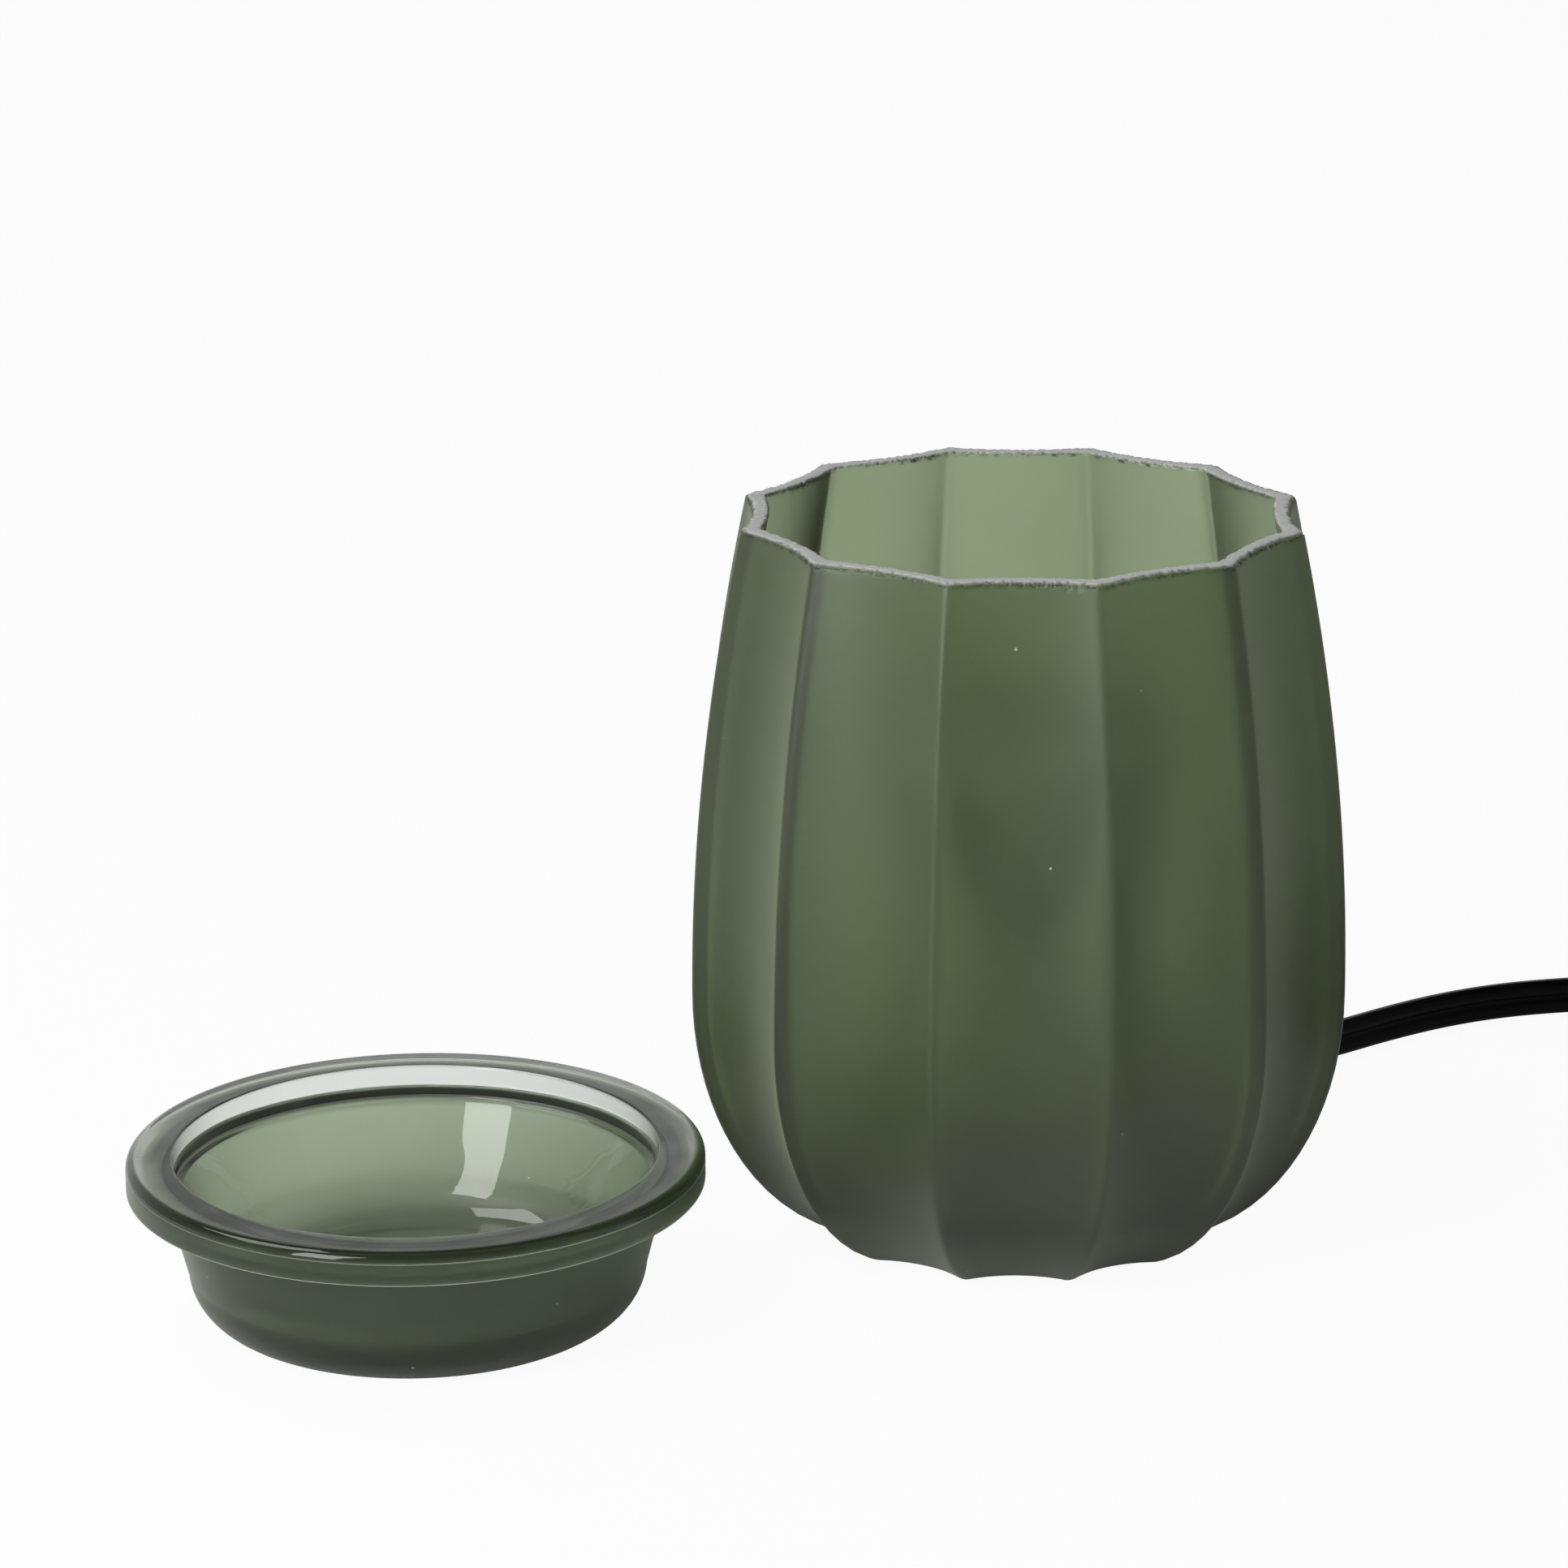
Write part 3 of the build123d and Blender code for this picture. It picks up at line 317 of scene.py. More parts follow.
def lead_route(name, points):
    """A smooth spline with these control points."""
    curve = bpy.data.curves.new(name, "CURVE")
    curve.dimensions = "3D"
    curve.resolution_u = 6
    spline = curve.splines.new("NURBS")
    spline.points.add(len(points) - 1)
    for spot, place in zip(spline.points, points):
        spot.co = (*place, 1.0)
    spline.order_u = 3
    spline.use_endpoint_u = True
    route = bpy.data.objects.new(name, curve)
    scene.collection.objects.link(route)
    return route


def laid_lead(name, points):
    """The lead along a route, as a mesh, and the points that it follows."""
    route = lead_route(name, points)
    graph = bpy.context.evaluated_depsgraph_get()
    line = bpy.data.meshes.new_from_object(route.evaluated_get(graph))
    followed = [tuple(v.co) for v in line.vertices]
    bpy.data.meshes.remove(line)
    sizes = {"Width": LEAD_WIDTH, "Thickness": LEAD_THICKNESS, "Web": GROOVE_WEB,
             "Groove Soft": GROOVE_SOFT, "Points": LEAD_SECTION_POINTS, "Jacket": jacket}
    return shaped(route, section_tree, sizes), followed


def length_of(points):
    return sum(math.dist(a, b) for a, b in zip(points, points[1:]))


section_tree = lead_section_tree()
jacket = lead_jacket()
bushing_end = (0.030465, 0.05277, 0.010585)
to_switch = [bushing_end, (0.03567, 0.06179, 0.00595), (0.0535, 0.0750, 0.0033), (0.0733, 0.0922, 0.00325),
             (0.0890, 0.1016, 0.00325), (0.1050, 0.1062, 0.00325), (0.1260, 0.1089, 0.00325),
             (0.1460, 0.1102, 0.00325), (0.1650, 0.1103, 0.00325), (0.1840, 0.1092, 0.00325),
             (0.1987, 0.1034, 0.00325), (0.2099, 0.0924, 0.0040), (0.2160, 0.0778, 0.0056),
             (0.2160, 0.0590, 0.0056)]
first_lead, first_path = laid_lead("lead_to_switch", to_switch)
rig.slot(first_lead, "cord_jacket")
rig.replaces(first_lead, "cord_to_switch")
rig.ride(first_lead, "warmer")
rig.cord(first_lead, exit=bushing_end, length=length_of(first_path), diameter=LEAD_WIDTH, far_end="fitting",
        stiffness="medium", lay="loose", path=first_path, with_pieces=[nodes["cord_bushing"]])

# The rest of the lead is wound in two layers, in along the lower and out along the upper, and a
# strap holds it. The coil, the switch and the plug lie to the right, outside the photograph.
COIL_MIDDLE, COIL_OUTER, COIL_PITCH, COIL_TURNS = (0.157, -0.009), 0.0394, 0.00375, 6.3056
COIL_LEVEL, COIL_LAYER, COIL_STEPS_A_TURN, COIL_REACH = 0.0042, 0.0069, 15, 0.0178
CLIMB_TURNS, SPREAD_TURNS = 0.5, 0.5


def clipped(value):
    """The value, held between 0 and 1."""
    return min(max(value, 0), 1)


def coil_spot(turned, swell=1.0):
    """A point of the coil's line after this many turns, clockwise from its nearest side. The lead
    climbs to the upper layer half way, where the coil is tightest."""
    start_climb = (COIL_TURNS - CLIMB_TURNS) / 2
    outside = max(abs(turned - COIL_TURNS / 2) - CLIMB_TURNS / 2, 0)
    inmost = COIL_OUTER - COIL_PITCH * (start_climb + SPREAD_TURNS)
    radius = (inmost + COIL_PITCH * (outside + min(outside, SPREAD_TURNS))) * swell
    climb = clipped((turned - start_climb) / CLIMB_TURNS)
    angle = -math.pi / 2 - 2 * math.pi * turned
    return Vector((COIL_MIDDLE[0] + radius * math.cos(angle), COIL_MIDDLE[1] + radius * math.sin(angle),
                   COIL_LEVEL + COIL_LAYER * (1 - math.cos(math.pi * climb)) / 2))


coil_start, coil_end = coil_spot(0), coil_spot(COIL_TURNS)
start_way = (coil_spot(0.001) - coil_start).normalized()
end_way = (coil_end - coil_spot(COIL_TURNS - 0.001)).normalized()

# The spline runs inside its control points, so these swell outwards by what it loses on average.
half_step = math.pi / COIL_STEPS_A_TURN
swell = 2 / (math.cos(half_step) + (3 + math.cos(2 * half_step)) / 4)
turn_count = round(COIL_TURNS * COIL_STEPS_A_TURN)
turns = [coil_spot(COIL_TURNS * k / turn_count, swell) for k in range(turn_count + 1)]
to_plug = [(0.2160, 0.0050, 0.0056), (0.2160, -0.0138, 0.0056), (0.2048, -0.0340, 0.0036),
           (0.1865, -0.0454, 0.0036), coil_start - start_way * COIL_REACH, *turns,
           coil_end + end_way * COIL_REACH, (0.13296, 0.03533, 0.00685), (0.1390, 0.0450, 0.00685)]
second_lead, second_path = laid_lead("lead_to_plug", to_plug)
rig.slot(second_lead, "cord_jacket")
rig.replaces(second_lead, "cord_to_coil", "cord_coil", "cord_to_plug")
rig.ride(second_lead, "warmer")
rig.cord(second_lead, exit=to_plug[0], length=length_of(second_path), diameter=LEAD_WIDTH, far_end="plug",
        stiffness="medium", lay="coiled", path=second_path,
        with_pieces=[nodes[n] for n in ("coil_tie", "plug_body", "plug_blades", "switch_lower_shell",
                                        "switch_upper_shell", "switch_rocker", "switch_blade",
                                        "switch_contacts", "switch_screws")])

# The bushing: soft black rubber moulded on the lead, with a flange on each side of the glass and a
# grooved tail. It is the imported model's own piece, and gets its finish here, as do the rubber washers.


def finished(name, dark, light, shine, grain, depth, metal=0.0, stretch=(1.0, 1.0, 1.0)):
    """A finish with a cloudy tone between two, and a fine grain, which may be drawn out, that sets how
    rough it is."""
    material, add = new_material(name)
    where = add.object_place()
    cloud = add.ranged(add.noise(where, 110.0, 3.0), 0.3, 0.7)
    drawn = add("ShaderNodeMapping", {"Vector": where, "Scale": stretch}).outputs[0]
    grit = add.noise(drawn, grain)
    add.surface({"Base Color": add.blend(add.calc("MULTIPLY", cloud, grit), (*dark, 1), (*light, 1)),
                 "Roughness": add.ranged(grit, 0.3, 0.7, *shine), "Metallic": metal,
                 "Normal": add.bump(grit, 0.5, depth), "IOR": 1.5})
    return material


def dressed(material, *names):
    """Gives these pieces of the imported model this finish."""
    for name in names:
        for slot in nodes[name].material_slots:
            slot.material = material


rubber = finished("moulded_rubber", (0.010, 0.010, 0.010), (0.022, 0.021, 0.020),
                  shine=(0.55, 0.72), grain=1500.0, depth=0.00006)
dressed(rubber, "cord_bushing", "rubber_washers")

# The vessel: thick clear glass blown in a fluted mould and lightly etched, with a satin green lacquer
# fired on its outside, then cut and ground at the rim. Twelve hollow flutes meet in soft ridges.
VESSEL_HEIGHT, BELLY_RADIUS, BELLY_HEIGHT, RIM_RADIUS = 0.123, 0.056, 0.044, 0.0472
LOWER_WIDTH, FOOT_CUT, RIDGE_WALL, RIM_EASE = 0.0322, 0.0015, 0.0037, 0.00012
BELLY_DEPTH, RIM_DEPTH, INNER_DEPTH, RIDGE_SOFT, CORNER_SOFT = 0.0575, 0.03, 0.016, 0.0019, 0.0016
FLOOR_HEIGHT, FLOOR_CORNER, FLOOR_CORNER_WIDTH = 0.011, 0.009, 0.0055
PIPE_HOLE, HOLE_EASE, KICK_HEIGHT = 0.0053, 0.0003, 0.007
# The extra coat at the foot, and the height over which it fades, are painted shade that darkens the bottom.
FOOT_COAT, FOOT_COAT_HEIGHT, INNER_SATIN = 0.5, 0.03, 0.6
FLUTES, VESSEL_STEPS = 12, 58
FLAT_SHARE = math.cos(math.pi / FLUTES)
CHIP_SIZE, CHIP_DEPTH, CHIP_LIMIT, CHIP_EASE, CHIP_SLOPE = 0.0006, 0.0004, 0.74, 0.30, 7.0
# The near-black tone is painted shade for a coat above 1, and the dark chip tone is painted shade in the chips.
CLEAR_TONE, POOLED_TONE, CHIP_TONE = (0.96, 0.97, 0.96, 1), (0.006, 0.008, 0.005, 1), (0.07, 0.09, 0.06, 1)
GROUND_TONES, SPECK_TONE = ((0.42, 0.43, 0.42, 1), (0.64, 0.65, 0.63, 1)), (0.8, 0.82, 0.8, 1)
GLASS_IOR, ROUGHNESS_SPREAD, GROUND_ROUGH, GROUND_DULL, SPECK_RADIUS = 1.5, 0.04, 0.8, 0.85, 0.022

# What a point of a profile needs: its place, how fluted its ring is, the depth of the flutes and the
# softness of the ridges, how far it is chipped, etched and cut, and how thick its lacquer is, with
# painted shade where that is above 1.
Spot = namedtuple("Spot", "radius height fluted depth soft chip satin cut coat")


def ridge_radius(height):
    """Over the ridges: half an ellipse below the belly, then a slow parabola to the rim."""
    if height < BELLY_HEIGHT:
        drop = (BELLY_HEIGHT - height) / (BELLY_HEIGHT + FOOT_CUT)
        return BELLY_RADIUS - LOWER_WIDTH * (1 - math.sqrt(1 - drop ** 2))
    rise = (height - BELLY_HEIGHT) / (VESSEL_HEIGHT - BELLY_HEIGHT)
    return BELLY_RADIUS - (BELLY_RADIUS - RIM_RADIUS) * rise ** 2


def inner_radius(height):
    """The inner wall's own ridges, drawn in round the corner of the floor."""
    above = clipped((height - FLOOR_HEIGHT) / FLOOR_CORNER)
    drawn_in = FLOOR_CORNER_WIDTH * (1 - math.sqrt(1 - (1 - above) ** 2))
    return ridge_radius(height) - RIDGE_WALL - drawn_in


def plain_spot(radius, height, satin=1.0, coat=1.0):
    """A point of a profile that goes round in a plain circle."""
    return Spot(radius, height, 0.0, 0.01, 0.001, 0.0, satin, 0.0, coat)


def wall_spot(height, inside=False, inset=0.0, chip=0.0, cut=0.0):
    """A point of the outer or inner wall, moved into the glass by the inset. Its corner lies just
    outside the softened crown of its ridge."""
    if inside:
        ridge, share, soft = inner_radius(height) + inset, INNER_DEPTH, CORNER_SOFT
        satin, coat = INNER_SATIN, 0.0
    else:
        rise = max(height - BELLY_HEIGHT, 0) / (VESSEL_HEIGHT - BELLY_HEIGHT)
        share, soft = BELLY_DEPTH - (BELLY_DEPTH - RIM_DEPTH) * rise ** 2, RIDGE_SOFT
        ridge = ridge_radius(height) - inset
        # Towards the foot the coat rises above 1: painted shade that darkens the bottom of the vessel.
        satin, coat = 1.0, 1.0 - cut + FOOT_COAT * max(1 - height / FOOT_COAT_HEIGHT, 0)
    corner = ridge + soft / 6
    depth = FLAT_SHARE - ridge * (FLAT_SHARE - share) / corner
    return Spot(corner, height, 1.0, depth, soft, chip, satin, cut, coat)


def vessel_spots():
    """The wall's outline, from the hole for the pipe out over the foot, up, over the rim and back."""
    hole, top = PIPE_HOLE, VESSEL_HEIGHT
    line = [plain_spot(hole, z, coat=0.0) for z in (0.0105, 0.0075)]
    line += [plain_spot(hole + HOLE_EASE, KICK_HEIGHT, coat=0.0)]
    line += [plain_spot(r, z) for r, z in (
        (0.0090, KICK_HEIGHT), (0.0125, KICK_HEIGHT), (0.0140, 0.0069), (0.0156, 0.0064), (0.0172, 0.0056),
        (0.0188, 0.0044), (0.0203, 0.0030), (0.0216, 0.0016), (0.0225, 0.0006), (0.0230, 0.00015),
        (0.0234, 0.0))]
    foot = wall_spot(0.0)
    line += [foot._replace(radius=0.0252, fluted=0.5), foot._replace(radius=foot.radius - 0.0012)]
    line += [foot._replace(radius=foot.radius - inset, height=z)
             for inset, z in ((0.0006, 0.00003), (0.0002, 0.0002))]
    line += [wall_spot(h) for h in [0.0005, 0.0012] + [top * (k / 36) ** 1.25 for k in range(2, 36)]]
    line += [wall_spot(top - drop, chip=chip) for drop, chip in (
        (0.0020, 0.0), (0.0014, 0.15), (0.0010, 0.5), (0.0007, 0.8), (0.0004, 1.0))]
    edge = [wall_spot(top, inset=inset, chip=chip, cut=cut) for inset, chip, cut in (
        (RIM_EASE, 1.0, 0.4), (0.0004, 0.9, 1.0), (0.0009, 0.4, 1.0))]
    lip = [wall_spot(top, True, inset, chip, cut) for inset, chip, cut in (
        (0.0008, -0.3, 1.0), (0.0004, -0.8, 1.0), (0.0001, -1.0, 0.5))]
    edge[0] = edge[0]._replace(height=top - RIM_EASE)
    lip[-1] = lip[-1]._replace(height=top - RIM_EASE)
    band = [Spot(*(a + (b - a) * k / 4 for a, b in zip(edge[-1], lip[0]))) for k in (1, 2, 3)]
    line += edge + [spot._replace(chip=0.0) for spot in band] + lip
    line += [wall_spot(top - drop, True, chip=chip) for drop, chip in (
        (0.0004, -0.7), (0.0009, -0.2), (0.0015, 0.0))]
    low, high = FLOOR_HEIGHT + FLOOR_CORNER, top - 0.004
    line += [wall_spot(low + (high - low) * (1 - k / 26), True) for k in range(27)]
    line += [wall_spot(FLOOR_HEIGHT + FLOOR_CORNER * (1 - math.sin(math.pi / 2 * k / 10)), True)
             for k in range(1, 11)]
    last = line[-1]
    line += [last._replace(radius=last.radius * share, fluted=share) for share in (0.85, 0.6, 0.35)]
    return line + [plain_spot(hole + HOLE_EASE, FLOOR_HEIGHT, INNER_SATIN, 0.0)]


def fluted_tree():
    """Turns a profile into a body: each of its points goes round the axis on a fluted ring, and the
    edges of the rim are chipped."""
    tree = shape_tree("fluted_glass", {"Flutes": "Int", "Steps": "Int", "Closed": "Int",
                                       "Chip Size": "Float", "Chip Depth": "Float",
                                       "Middle": "Vector", "Glass": "Material"})
    add = NodeMaker(tree)
    calc = add.calc
    given = add("NodeGroupInput").outputs
    profile = given["Geometry"]

    # A grid with a column for each step round the axis and a row for each point of the profile.
    count = add("GeometryNodeAttributeDomainSize", {"Geometry": profile}).outputs["Point Count"]
    around = calc("MULTIPLY", given["Flutes"], given["Steps"])
    rows = calc("ADD", count, given["Closed"])
    grid = add("GeometryNodeMeshGrid", {"Size X": 1.0, "Size Y": 1.0, "Vertices X": calc("ADD", around, 1.0),
                                        "Vertices Y": rows}).outputs[0]
    index = add("GeometryNodeInputIndex").outputs[0]
    row = calc("MODULO", calc("MODULO", index, rows), count)
    column = calc("FLOOR", calc("DIVIDE", calc("ADD", index, 0.5), rows))

    def of_profile(kind, value):
        return add("GeometryNodeSampleIndex", {"Geometry": profile, "Value": value, "Index": row},
                   data_type=kind).outputs[0]

    def named(label):
        field = add("GeometryNodeInputNamedAttribute", {"Name": label}, data_type="FLOAT").outputs[0]
        return of_profile("FLOAT", field)

    place = of_profile("FLOAT_VECTOR", add("GeometryNodeInputPosition").outputs[0])
    place = add("ShaderNodeSeparateXYZ", {0: place}).outputs
    radius, height = place[0], place[2]
    fluted, depth, soft, chip = [named(label) for label in ("fluted", "depth", "soft", "chip")]

    # The ring: a hollow arc from ridge to ridge, with the ridge between two arcs softened.
    half = calc("DIVIDE", math.pi, given["Flutes"])
    pitch = calc("MULTIPLY", half, 2.0)
    angle = calc("MULTIPLY", column, calc("DIVIDE", 2 * math.pi, around))
    flute = calc("DIVIDE", angle, pitch)
    off = calc("MULTIPLY", calc("ABSOLUTE", calc("SUBTRACT", flute, calc("ROUND", flute))), pitch)
    side, chord = calc("SINE", half), calc("COSINE", half)
    hollow = calc("DIVIDE", calc("ADD", calc("MULTIPLY", depth, depth), calc("MULTIPLY", side, side)),
                  calc("MULTIPLY", depth, 2.0))
    centre = calc("ADD", calc("SUBTRACT", chord, depth), hollow)

    def hollow_at(turn):
        across = calc("MULTIPLY", centre, calc("SINE", turn))
        inside = calc("SUBTRACT", calc("MULTIPLY", hollow, hollow), calc("MULTIPLY", across, across))
        return calc("SUBTRACT", calc("MULTIPLY", centre, calc("COSINE", turn)),
                    calc("SQRT", calc("MAXIMUM", inside, 0.0)))

    ring = calc("SMOOTH_MIN", hollow_at(off), hollow_at(calc("SUBTRACT", pitch, off)),
                calc("DIVIDE", soft, radius))
    reach = calc("ADD", 1.0, calc("MULTIPLY", fluted, calc("SUBTRACT", ring, 1.0)))
    reach = calc("MULTIPLY", radius, reach)

    def turned(out, up):
        return add("ShaderNodeCombineXYZ", {0: calc("MULTIPLY", out, calc("COSINE", angle)),
                                            1: calc("MULTIPLY", out, calc("SINE", angle)),
                                            2: up}).outputs[0]

    # The chips: where a noise passes a limit that falls with the chip value, glass is taken off the top
    # and off the side that the value's sign gives.
    speckle = add("ShaderNodeTexNoise", {"Vector": turned(reach, height), "Detail": 3.0, "Roughness": 0.6,
                                         "Scale": calc("DIVIDE", 1.0, given["Chip Size"])},
                  noise_dimensions="3D").outputs[0]
    likely = calc("ABSOLUTE", chip)
    over = calc("SUBTRACT", speckle, calc("SUBTRACT", CHIP_LIMIT, calc("MULTIPLY", likely, CHIP_EASE)))
    nick = calc("MINIMUM", calc("MAXIMUM", calc("MULTIPLY", over, CHIP_SLOPE), 0.0), 1.0)
    nick = calc("MULTIPLY", nick, likely)
    broken = calc("MULTIPLY", nick, given["Chip Depth"])
    ground = turned(calc("SUBTRACT", reach, calc("MULTIPLY", broken, calc("SIGN", chip))),
                    calc("SUBTRACT", height, broken))
    spot = add("ShaderNodeVectorMath", {0: ground, 1: given["Middle"]}, operation="ADD").outputs[0]
    body = add("GeometryNodeSetPosition", {"Geometry": grid, "Position": spot}).outputs[0]
    for label, value in (("satin", named("satin")), ("cut", named("cut")), ("coat", named("coat")),
                         ("chipped", nick)):
        body = add("GeometryNodeStoreNamedAttribute", {"Geometry": body, "Name": label, "Value": value},
                   data_type="FLOAT", domain="POINT").outputs[0]
    body = add("GeometryNodeMergeByDistance", {"Geometry": body, "Distance": 0.000002}).outputs[0]
    send_out(add, body, given["Glass"])
    return tree


def facing_out(obj):
    """Makes the closed body's faces point outwards."""
    body = bmesh.new()
    body.from_mesh(obj.data)
    bmesh.ops.recalc_face_normals(body, faces=body.faces)
    if body.calc_volume(signed=True) < 0:
        bmesh.ops.reverse_faces(body, faces=body.faces)
    body.to_mesh(obj.data)
    body.free()


def glass_body(name, spots, closed, steps, middle, glass, chip_size=0.001, chip_depth=0.0):
    """A glass body with this profile and this many steps in the width of a flute. A profile that isn't
    closed begins and ends on the axis."""
    mesh = bpy.data.meshes.new(name)
    count = len(spots)
    edges = [(k, (k + 1) % count) for k in range(count if closed else count - 1)]
    mesh.from_pydata([(spot.radius, 0, spot.height) for spot in spots], edges, [])
    for label in Spot._fields[2:]:
        values = [getattr(spot, label) for spot in spots]
        mesh.attributes.new(label, "FLOAT", "POINT").data.foreach_set("value", values)
    profile = bpy.data.objects.new(name, mesh)
    scene.collection.objects.link(profile)
    body = shaped(profile, glass_tree, {"Flutes": FLUTES, "Steps": steps, "Closed": int(closed),
                                        "Chip Size": chip_size, "Chip Depth": chip_depth,
                                        "Middle": middle, "Glass": glass})
    facing_out(body)
    return body


def coated_glass(name, dark, light, satin_rough, clear_rough, wave, haze, bloom):
    """Clear glass with a satin green lacquer fired on its outside, which swallows light that meets it at a
    slant. A coat above 1 is painted shade, nearly black at 2. Where the glass is cut it is ground to a
    matt grey, and a chip in it is painted dark, as painted shade in the chip."""
    material, add = new_material(name)
    calc = add.calc
    where = add.object_place()

    def rest_of(share):
        return calc("SUBTRACT", 1.0, share)

    satin, cut, coat, chipped = [add("ShaderNodeAttribute", attribute_name=label).outputs["Fac"]
                                 for label in ("satin", "cut", "coat", "chipped")]
    # A coat above 1 is painted shade: it blends the skin towards the near-black tone.
    pooled = calc("MAXIMUM", calc("SUBTRACT", coat, 1.0), 0.0)
    coat = calc("MINIMUM", coat, 1.0)
    cloud = add.noise(where, 24.0)
    specks = add("ShaderNodeTexVoronoi", {"Vector": where, "Scale": 95.0, "Randomness": 1.0})
    speck = calc("MULTIPLY", calc("LESS_THAN", specks.outputs["Distance"], SPECK_RADIUS), 0.8)

    # The colour: lacquer over clear glass, with painted shade where the coat is above 1, then the ground parts, the
    # chips painted dark as painted shade, and the pale specks.
    lacquer = add.blend(add.ranged(cloud, 0.35, 0.65), (*dark, 1), (*light, 1))
    skin = add.blend(coat, CLEAR_TONE, add.blend(pooled, lacquer, POOLED_TONE))
    ground = add.blend(add.noise(where, 900.0, 4.0), *GROUND_TONES)
    # The chips are real nicks in the glass, and their dark tone is painted shade in them.
    tone = add.blend(calc("MULTIPLY", chipped, 0.8), add.blend(cut, skin, ground), CHIP_TONE)
    tone = add.blend(speck, tone, SPECK_TONE)

    # How rough it is: etched, clear or ground, with a chip smoother than what lies round it.
    etched = add.ranged(cloud, 0.3, 0.7, satin_rough - ROUGHNESS_SPREAD, satin_rough + ROUGHNESS_SPREAD)
    rough = calc("ADD", calc("MULTIPLY", satin, etched), calc("MULTIPLY", rest_of(satin), clear_rough))
    rough = calc("ADD", calc("MULTIPLY", rough, rest_of(cut)), calc("MULTIPLY", cut, GROUND_ROUGH))
    rough = calc("MULTIPLY", rough, rest_of(calc("MULTIPLY", chipped, 0.6)))

    # How much light goes through.
    dull = calc("MULTIPLY", cut, calc("SUBTRACT", GROUND_DULL, calc("MULTIPLY", chipped, 0.5)))
    dull = calc("MAXIMUM", calc("ADD", dull, calc("MULTIPLY", coat, haze)), calc("MULTIPLY", speck, 0.6))
    slant = calc("MULTIPLY", coat, add("ShaderNodeFresnel", {"IOR": GLASS_IOR}).outputs[0])
    through = calc("MULTIPLY", rest_of(dull), rest_of(slant))

    # The relief: slow waves in the clear parts, a rubbed surface where it is ground, and the etching.
    relief = add.bump(calc("MULTIPLY", add.noise(where, 42.0), rest_of(satin)), 1.0, wave)
    rubbed = calc("MULTIPLY", add.noise(where, 1300.0, 4.0), calc("MAXIMUM", cut, chipped))
    relief = add.bump(rubbed, 0.8, 0.0003, Normal=relief)
    relief = add.bump(calc("MULTIPLY", add.noise(where, 2600.0), satin), 0.08, 0.0001, Normal=relief)
    add.surface({"Base Color": tone, "Roughness": rough, "Normal": relief, "IOR": GLASS_IOR,
                 "Transmission Weight": through, "Specular IOR Level": 0.45, "Sheen Weight": bloom,
                 "Sheen Roughness": 0.7, "Sheen Tint": (1.0, 0.96, 0.86, 1)})
    return material


glass_tree = fluted_tree()
satin_green = coated_glass("satin_green", (0.102, 0.160, 0.058), (0.136, 0.204, 0.080),
                           satin_rough=0.42, clear_rough=0.3, wave=0.0, haze=0.06, bloom=0.08)
vessel = glass_body("fluted_vessel", vessel_spots(), True, VESSEL_STEPS, (0.0, 0.0, 0.0), satin_green,
                    chip_size=CHIP_SIZE, chip_depth=CHIP_DEPTH)
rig.slot(vessel, "satin_glass")
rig.replaces(vessel, "glass_vessel")
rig.ride(vessel, "warmer")

# The melt dish: pressed clear glass, left bare and bright inside and on top of the flange, where the
# plunger met it. Its body, and the seat and edge of its flange, are lacquered green. In use the flange
# rests on the vessel's rim.
DISH_MIDDLE, DISH_HEIGHT, FLANGE_RADIUS, FLANGE_SEAT = (-0.09775, -0.0443, 0.0), 0.02765, 0.04695, 0.0222
BASE_RADIUS, HEEL_TOP, HEEL_BEND, NECK_RADIUS = 0.0286, (0.03735, 0.0084), 0.73, 0.0409
MOUTH, LEDGE = (0.0394, DISH_HEIGHT), ((0.0391, 0.02205), (0.0382, 0.02175))
BOWL_BEND = ((0.0346, 0.0138), (0.0309, 0.0056), (0.0295, 0.0040), (0.0225, 0.0040))
BOWL_FLOOR, DISH_STEPS, SEAT_SATIN, EDGE_ROUND = 0.0040, 16, 2.4, 0.0016
EASED_FROM_NECK = (0.0005, 0.0005, EDGE_ROUND, 0.0005, 0.0004, 0.0003)
LONG_RUN, RUN_STEP, CLOSE_TO_END = 0.001, 0.002, 0.12

# The lacquer in shares of a plain coat, and the bands in which it is made thicker, as painted shade, or thinner, as
# painted light.
NEAR_DEPTH, FAR_EDGE_LESS, NEAR_EDGE_MORE, EDGE_BAND, EDGE_TOP = 0.05, 0.7, 0.4, 0.002, 0.0022
CORNER_RADIUS, CORNER_WIDER, CORNER_FADE, CORNER_DROP = 0.0437, 0.0022, 0.0012, 0.0018
# The corner, near body, near edge and heel amounts are painted shade, and the far edge's thinning is painted light.
SEAT_COAT, CORNER_MORE, NEAR_BODY_MORE, HEEL_MORE, HEEL_HEIGHT = 0.6, 1.37, 0.12, 0.65, 0.009


def heel_spots(first, last, share, count):
    """Points on the arc between two points of the profile, its radius this share of their distance."""
    first, last = Vector(first), Vector(last)
    way = last - first
    radius = way.length * share
    aside = Vector((-way.y, way.x)).normalized()
    centre = (first + last) / 2 + aside * math.sqrt(radius ** 2 - way.length_squared / 4)
    start, end = [math.atan2(p.y - centre.y, p.x - centre.x) for p in (first, last)]
    turns = [start + (end - start) * k / count for k in range(count + 1)]
    return [(centre.x + radius * math.cos(t), centre.y + radius * math.sin(t)) for t in turns]


